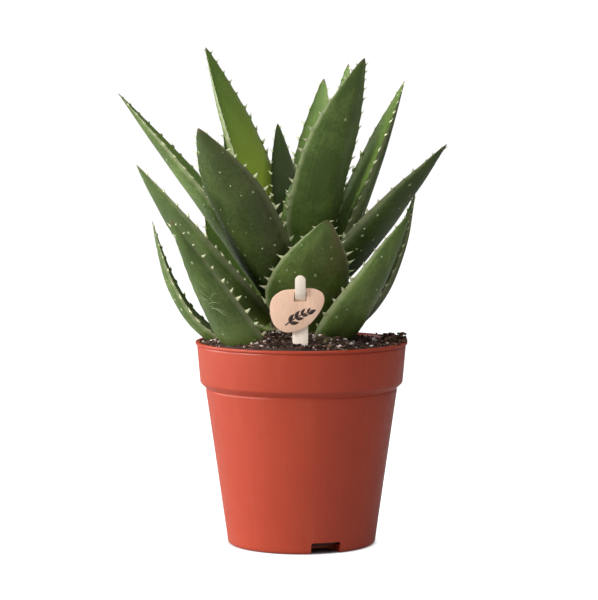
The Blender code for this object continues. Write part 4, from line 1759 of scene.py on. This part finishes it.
    def _fibres(self) -> bpy.types.Object:
        """Lays thin root fibres over the soil.

        Returns:
            The finished piece.
        """
        shape = bmesh.new()
        for _ in range(self.fibre_count):
            x, y = self._spot_on_soil()
            if self.rng.random() < 0.3:
                azimuth = math.radians(self.rng.gauss(2, 12))
                x, y = 0.038 * math.cos(azimuth), 0.038 * math.sin(azimuth)
            heading = self.rng.uniform(0, 2 * math.pi)
            ring = ring_of(shape, self.fibre_sides)
            first = list(ring)
            thick = self.rng.uniform(0.07, 0.16) * MM
            place = Vector((x, y, max(self.height_at(x, y), 0.0) + 0.6 * MM))
            for step in range(self.fibre_steps):
                if step:
                    heading += self.rng.gauss(0, 0.45)
                    onward = Vector((math.cos(heading), math.sin(heading), self.rng.gauss(0.05, 0.3)))
                    place += onward * 0.9 * MM
                    reach = self.edge_radius() - 0.4 * MM
                    away = math.hypot(place.x, place.y)
                    if away > reach and place.z < self.pot.height:
                        place.x, place.y = place.x * reach / away, place.y * reach / away
                    ring = extrude_ring(shape, ring)
                side = Vector((-math.sin(heading), math.cos(heading), 0))
                for corner, vertex in enumerate(ring):
                    angle = 2 * math.pi * corner / self.fibre_sides
                    around = side * math.cos(angle) + Vector((0, 0, 1)) * math.sin(angle)
                    vertex.co = place + around * thick
            for end in (first, ring):
                cap_ring(shape, end)
        bmesh.ops.recalc_face_normals(shape, faces=shape.faces)
        finish = SoilGrit("root_fibre", (0.190, 0.115, 0.080), (0.300, 0.200, 0.150))
        return finish_piece("root_fibres", shape, (finish.build(),))

    def _moss(self) -> bpy.types.Object:
        """Grows a few tufts of moss by the label's stick.

        Returns:
            The finished piece.
        """
        shape = bmesh.new()
        for _ in range(self.moss_count):
            x = self.rng.gauss(6.0, 4.5) * MM
            y = self.rng.gauss(-33.0, 2.0) * MM
            if math.hypot(x, y) > self.edge_radius() - MM or abs(x) < 3.5 * MM:
                continue
            foot = Vector((x, y, self.height_at(x, y) + 0.2 * MM))
            lean = Vector((self.rng.gauss(0, 0.6), self.rng.gauss(0, 0.6), 1.0)).normalized()
            side = lean.orthogonal().normalized()
            tall = self.rng.uniform(0.9, 2.2) * MM
            across = lean.cross(side)
            basis = Matrix((side * 0.22 * MM, across * 0.12 * MM, lean * tall)).transposed().to_4x4()
            basis.translation = foot + lean * tall / 2
            bmesh.ops.create_cone(shape, cap_ends=True, cap_tris=True, segments=5, radius1=1.0, radius2=0.1,
                                  depth=1.0, matrix=basis)
        finish = SoilGrit("moss", (0.100, 0.130, 0.035), (0.180, 0.200, 0.070))
        return finish_piece("moss_tufts", shape, (finish.build(),))


# ----------------------------------------------------------------------------------------------
# Label
# ----------------------------------------------------------------------------------------------


@dataclass
class PlantLabel:
    """Wooden tag on a flat stick, marked with a plain sprig."""

    soil_level: float
    lean: float = math.radians(8.0)
    stick_x: float = -0.5 * MM
    stick_y: float = -36.5 * MM
    stick_width: float = 5.9 * MM
    tongue_width: float = 4.0 * MM
    stick_thickness: float = 0.9 * MM
    depth_in_soil: float = 34.0 * MM
    point: float = 6.0 * MM
    tongue_top: float = 109.5 * MM
    gap: float = 0.3 * MM
    tag_thickness: float = 1.0 * MM
    tag_x: float = -1.6 * MM
    tag_z: float = 95.6 * MM
    slot_z: float = 101.0 * MM
    slot_height: float = 3.6 * MM
    sanding: float = 0.12 * MM
    print_lift: float = 0.04 * MM
    print_drop: float = 0.9 * MM
    outline: Tuple[Point, ...] = (
        (10.2, 4.3), (9.0, 0.6), (6.4, -3.2), (3.7, -5.8), (-0.3, -7.6), (-3.4, -8.3), (-6.6, -7.4),
        (-9.4, -4.3), (-10.4, 1.0), (-9.3, 5.0), (-5.7, 7.7), (-1.4, 8.3), (3.0, 8.6), (6.4, 8.5), (9.3, 7.0),
    )

    @property
    def tag_y(self) -> float:
        """The tag's middle plane."""
        return self.stick_y - self.stick_thickness / 2 - self.gap - self.tag_thickness / 2

    def _lean(self, shape: bmesh.types.BMesh) -> None:
        """Tips a piece forward about the place where the stick leaves the soil."""
        pivot = Vector((self.stick_x, self.stick_y, self.soil_level))
        bmesh.ops.rotate(shape, verts=shape.verts, cent=pivot, matrix=Matrix.Rotation(self.lean, 3, "X"))

    def build(self, stick_wood: bpy.types.Material, tag_wood: bpy.types.Material,
              ink: bpy.types.Material) -> List[bpy.types.Object]:
        """Builds the stick, the tag and its mark.

        Args:
            stick_wood: the stick's material.
            tag_wood: the tag's material.
            ink: the mark's material.

        Returns:
            The pieces.
        """
        return [self._stick(stick_wood), self._tag(tag_wood), self._sprig(ink)]

    def _sand(self, shape: bmesh.types.BMesh) -> None:
        """Rounds a wooden piece's sharp edges a little.

        Args:
            shape: its mesh.
        """
        bmesh.ops.recalc_face_normals(shape, faces=shape.faces)
        sharp = [edge for edge in shape.edges if edge.calc_face_angle(0) > 1.0]
        bmesh.ops.bevel(shape, geom=sharp, offset=self.sanding, affect="EDGES", segments=2,
                        profile=0.5, material=-1)

    def _stick_stations(self) -> List[Tuple[float, float, float]]:
        """Gives the stick's height, half width and step forward, from its point to its round tongue.

        Returns:
            The three numbers at each station; the step is 0 behind the tag and 1 in front of it.
        """
        half, tongue = self.stick_width / 2, self.tongue_width / 2
        slot_foot = self.slot_z - self.slot_height / 2
        foot = self.soil_level - self.depth_in_soil
        stations = [(foot, 0.3 * half, 0.0), (foot + self.point, half, 0.0)]
        for step in range(4):
            stations.append((slot_foot - (4.0 - step / 3) * MM, half + (tongue - half) * step / 3, 0.0))
        stations.append((slot_foot, tongue, 0.0))
        for share in (0.25, 0.5, 0.75, 1.0):
            stations.append((slot_foot + share * self.slot_height * 0.9, tongue, share))
        for angle in range(0, 81, 10):
            turn = math.radians(angle)
            height = self.tongue_top - tongue + tongue * math.sin(turn)
            stations.append((height, tongue * math.cos(turn), 1.0))
        return stations

    def _stick(self, wood: bpy.types.Material) -> bpy.types.Object:
        """Builds the stick.

        Args:
            wood: its material.

        Returns:
            The finished piece.
        """
        step_forward = 2 * (self.stick_y - self.tag_y)
        shape = bmesh.new()
        ring = ring_of(shape, 4)
        first = ring
        for index, (height, half_width, forward) in enumerate(self._stick_stations()):
            if index:
                ring = extrude_ring(shape, ring)
            middle = self.stick_y - forward * step_forward
            for vertex, (x, y) in zip(ring, ((-1, -1), (1, -1), (1, 1), (-1, 1))):
                vertex.co = (self.stick_x + x * half_width, middle + y * self.stick_thickness / 2, height)
        for end in (first, ring):
            cap_ring(shape, end)
        self._sand(shape)
        self._lean(shape)
        return finish_piece("label_stick_sanded", shape, (wood,), "label_stick",
                            Shading.CREASED, 35.0)

    def _smooth_outline(self, steps: int) -> List[Point]:
        """Rounds the tag's outline into a closed curve.

        Args:
            steps: points between two given ones.

        Returns:
            The curve's points.
        """
        points = self.outline
        curve = []
        for index in range(len(points)):
            a, b, c, d = (points[(index + shift) % len(points)] for shift in (-1, 0, 1, 2))
            for step in range(steps):
                t = step / steps
                curve.append(tuple(
                    0.5 * (2 * q + (r - p) * t + (2 * p - 5 * q + 4 * r - s) * t * t
                           + (3 * q - p - 3 * r + s) * t ** 3)
                    for p, q, r, s in zip(a, b, c, d)))
        return curve

    def _tag(self, wood: bpy.types.Material) -> bpy.types.Object:
        """Builds the tag with its slot, with softened edges.

        Args:
            wood: its material.

        Returns:
            The finished piece.
        """
        shape = bmesh.new()
        back = self.tag_y + self.tag_thickness / 2
        rim = [shape.verts.new((self.tag_x + x * MM, back, self.tag_z + z * MM))
               for x, z in self._smooth_outline(6)]
        half = self.tongue_width / 2 + self.gap
        low, high = self.slot_z - self.slot_height / 2, self.slot_z + self.slot_height / 2
        hole = [shape.verts.new((self.stick_x + x * half, back, z))
                for x, z in ((-1, low), (1, low), (1, high), (-1, high))]
        loops = [shape.edges.new(pair) for ring in (rim, hole) for pair in zip(ring, ring[1:] + ring[:1])]
        filled = bmesh.ops.triangle_fill(shape, use_beauty=True, use_dissolve=False, edges=loops)
        faces = [item for item in filled["geom"] if isinstance(item, bmesh.types.BMFace)]
        grown = bmesh.ops.extrude_face_region(shape, geom=faces)
        front = [item for item in grown["geom"] if isinstance(item, bmesh.types.BMVert)]
        bmesh.ops.translate(shape, verts=front, vec=(0, -self.tag_thickness, 0))
        self._sand(shape)
        self._lean(shape)
        return finish_piece("label_tag_sanded", shape, (wood,), "label_tag",
                            Shading.CREASED, 35.0)

    def _sprig(self, ink: bpy.types.Material) -> bpy.types.Object:
        """Builds the mark: a plain sprig with paired leaves, hardly proud of the wood.

        Args:
            ink: its material.

        Returns:
            The finished piece.
        """
        shape = bmesh.new()
        front = self.tag_y - self.tag_thickness / 2 - self.print_lift
        steps = 12
        line = [(-4.6 + 9.2 * step / steps, -4.6 + 5.0 * math.sin(step / steps * 1.45))
                for step in range(steps + 1)]
        self._blade(shape, line, [0.16 + 0.10 * (1 - step / steps) for step in range(steps + 1)], front)
        for index, at in enumerate((2, 5, 8, 11)):
            length = 3.7 - 0.5 * index
            for side in (-1, 1):
                self._sprig_leaf(shape, line[at], math.radians(30 + side * 52), -side * 0.05, length,
                                 0.70 * length / 3.7, front)
        tip = Vector((2.6 * 0.92, 2.6 * 0.4))
        self._sprig_leaf(shape, line[-1], math.atan2(tip.y, tip.x), 0.0, tip.length, 0.62, front)
        bmesh.ops.recalc_face_normals(shape, faces=shape.faces)
        self._lean(shape)
        return finish_piece("label_sprig_mark", shape, (ink,))

    def _sprig_leaf(self, shape: bmesh.types.BMesh, foot: Point, heading: float, curl: float, length: float,
                    half: float, front: float) -> None:
        """Adds one leaf of the sprig.

        Args:
            shape: the mesh to build in.
            foot: where it starts, in millimetres round the tag's centre.
            heading: its direction, in radians.
            curl: how much the direction changes at each eighth of its length.
            length: its length in millimetres.
            half: its greatest half width in millimetres.
            front: where its face lies along Y.
        """
        eighths = range(9)
        line = [(foot[0] + length * t / 8 * math.cos(heading + curl * t),
                 foot[1] + length * t / 8 * math.sin(heading + curl * t)) for t in eighths]
        widths = [0.06 + half * math.sin(math.pi * (t / 8) ** 0.8) for t in eighths]
        self._blade(shape, line, widths, front)

    def _blade(self, shape: bmesh.types.BMesh, line: Sequence[Point], widths: Sequence[float],
               front: float) -> None:
        """Adds a thin flat blade along a line.

        Args:
            shape: the mesh to build in.
            line: its middle line in millimetres round the tag's centre.
            widths: its half width at each point, in millimetres.
            front: where its face lies along Y.
        """
        ring = ring_of(shape, 4)
        first = ring
        for index, ((x, z), half) in enumerate(zip(line, widths)):
            if index:
                ring = extrude_ring(shape, ring)
            one, two = line[max(index - 1, 0)], line[min(index + 1, len(line) - 1)]
            heading = math.atan2(two[1] - one[1], two[0] - one[0])
            across = Vector((-math.sin(heading), 0, math.cos(heading))) * half * MM
            centre = Vector((self.tag_x + x * MM, front, self.tag_z - self.print_drop + z * MM))
            for vertex, (side, deep) in zip(ring, ((-1, 0), (1, 0), (1, 1), (-1, 1))):
                vertex.co = centre + across * side + Vector((0, 2 * self.print_lift * deep, 0))
        for end in (first, ring):
            cap_ring(shape, end)


# ----------------------------------------------------------------------------------------------
# Stage
# ----------------------------------------------------------------------------------------------


@dataclass(frozen=True)
class SoftLight:
    """Square area light: where it is, how wide, how strong in watts and how high it aims."""

    name: str
    place: Tuple[float, float, float]
    side: float
    power: float
    aim_height: float


@dataclass
class Studio:
    """Pale floor, soft light from the left and the camera."""

    camera_place: Tuple[float, float, float] = (-0.001, -1.0, 0.179)
    aim_height: float = 0.096
    lens: float = 153.75
    sky_strength: float = 0.14
    lights: Tuple[SoftLight, ...] = (
        SoftLight("key", (-1.15, -0.58, 0.58), 0.6, 17.0, 0.10),
        SoftLight("fill", (0.20, -0.85, 1.20), 0.8, 8.0, 0.12),
        SoftLight("side", (-1.05, 0.25, 0.40), 0.5, 9.0, 0.10),
    )

    def build(self) -> None:
        """Sets up the floor, the lights, the sky and the camera."""
        self._floor()
        for light in self.lights:
            self._light(light)
        self._sky()
        self._camera()

    def _floor(self) -> None:
        """Lays the floor, glowing white to the camera, with a painted shadow under the pot where the glow
        stops.
        """
        shape = bmesh.new()
        bmesh.ops.create_grid(shape, x_segments=2, y_segments=2, size=6.0)
        floor = loose_object("floor", shape)
        material, nodes, shader = new_material("floor_white")
        grain = nodes.noise(nodes.place(), 40.0, 2.0)
        nodes.link(nodes.mix(nodes.span(grain, 0.3, 0.7), (0.50, 0.50, 0.50), (0.52, 0.52, 0.52)),
                   shader.inputs["Base Color"])
        shader.inputs["Roughness"].default_value = 0.9
        shader.inputs["Specular IOR Level"].default_value = 0.1
        shader.inputs["Emission Color"].default_value = (1.0, 1.0, 1.0, 1.0)
        seen = nodes.add("LightPath").outputs["Is Camera Ray"]
        away = nodes.add("VectorMath", operation="LENGTH")
        nodes.link(nodes.place(), away.inputs[0])
        # Painted shadow: the glow stops in a disc under the pot, so the floor stays dark there.
        outside_painted_shadow = nodes.span(away.outputs["Value"], 0.027, 0.031)
        glow = nodes.math("MULTIPLY", nodes.span(seen, 0.0, 1.0, 0.06, 0.95), outside_painted_shadow)
        nodes.link(glow, shader.inputs["Emission Strength"])
        floor.data.materials.append(material)

    def _light(self, light: SoftLight) -> None:
        """Adds a soft area light.

        Args:
            light: its place, size and strength.
        """
        data = bpy.data.lights.new(light.name, "AREA")
        data.shape = "SQUARE"
        data.size = light.side
        data.energy = light.power
        lamp = bpy.data.objects.new(light.name, data)
        lamp.location = light.place
        towards = Vector((0, 0, light.aim_height)) - Vector(light.place)
        lamp.rotation_euler = towards.to_track_quat("-Z", "Y").to_euler()
        bpy.context.scene.collection.objects.link(lamp)

    def _sky(self) -> None:
        """Surrounds the scene with white, brighter to the camera than to the plant."""
        world = bpy.data.worlds.new("studio")
        world.use_nodes = True
        nodes = Nodes(world.node_tree)
        shade = world.node_tree.nodes["Background"]
        shade.inputs["Color"].default_value = (1.0, 1.0, 1.0, 1.0)
        seen = nodes.add("LightPath").outputs["Is Camera Ray"]
        extra = nodes.math("MULTIPLY", seen, 1.02 - self.sky_strength)
        strength = nodes.math("ADD", extra, self.sky_strength)
        nodes.link(strength, shade.inputs["Strength"])
        bpy.context.scene.world = world
        bpy.context.scene.view_settings.view_transform = "Standard"

    def _camera(self) -> None:
        """Places the camera level with the plant's middle, a little above."""
        data = bpy.data.cameras.new("camera")
        data.lens = self.lens
        data.sensor_width = 36.0
        data.sensor_fit = "HORIZONTAL"
        data.clip_start = 0.01
        data.clip_end = 50.0
        camera = bpy.data.objects.new("camera", data)
        camera.location = self.camera_place
        down = math.atan2(self.camera_place[2] - self.aim_height, -self.camera_place[1])
        camera.rotation_euler = (math.pi / 2 - down, 0.0, 0.0)
        bpy.context.scene.collection.objects.link(camera)
        bpy.context.scene.camera = camera


# ----------------------------------------------------------------------------------------------
# Whole plant
# ----------------------------------------------------------------------------------------------


def main() -> None:
    """Builds every piece of the potted aloe in order."""
    logging.basicConfig(level=logging.INFO, format="%(message)s")
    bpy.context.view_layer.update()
    shared = SharedEffects()
    _, pot_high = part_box("pot")
    rim = pot_high.z
    pot = Pot(height=rim, lip_radius=pot_high.x)
    pot.build(PotPlastic().build(shared))
    stem = Stem(rim)
    stem.build(StemBark().build(shared))
    soil = Soil(pot, stem)
    soil.build()
    skin, horn, spot = LeafSkin().build(shared), ToothHorn().build(), LeafSpot().build()
    for size in LEAF_SIZES:
        form = LeafForm(size, stem, rim)
        LeafBuilder(form, skin, horn, spot).build()
        _, cad_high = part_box(size.name)
        LOG.info("%s tip %.1f mm, CAD top %.1f mm", size.name, form.at(1.0).place.z / MM, cad_high.z / MM)
    stick_wood = RawWood("stick_wood", (0.98, 0.87, 0.74), (0.92, 0.76, 0.62)).build(shared)
    tag_wood = RawWood("tag_wood", (0.92, 0.62, 0.45), (0.80, 0.49, 0.34)).build(shared)
    PlantLabel(soil_level=rim - soil.below_rim).build(stick_wood, tag_wood, ScorchedPrint().build())
    Studio().build()


if __name__ == "__main__":
    main()
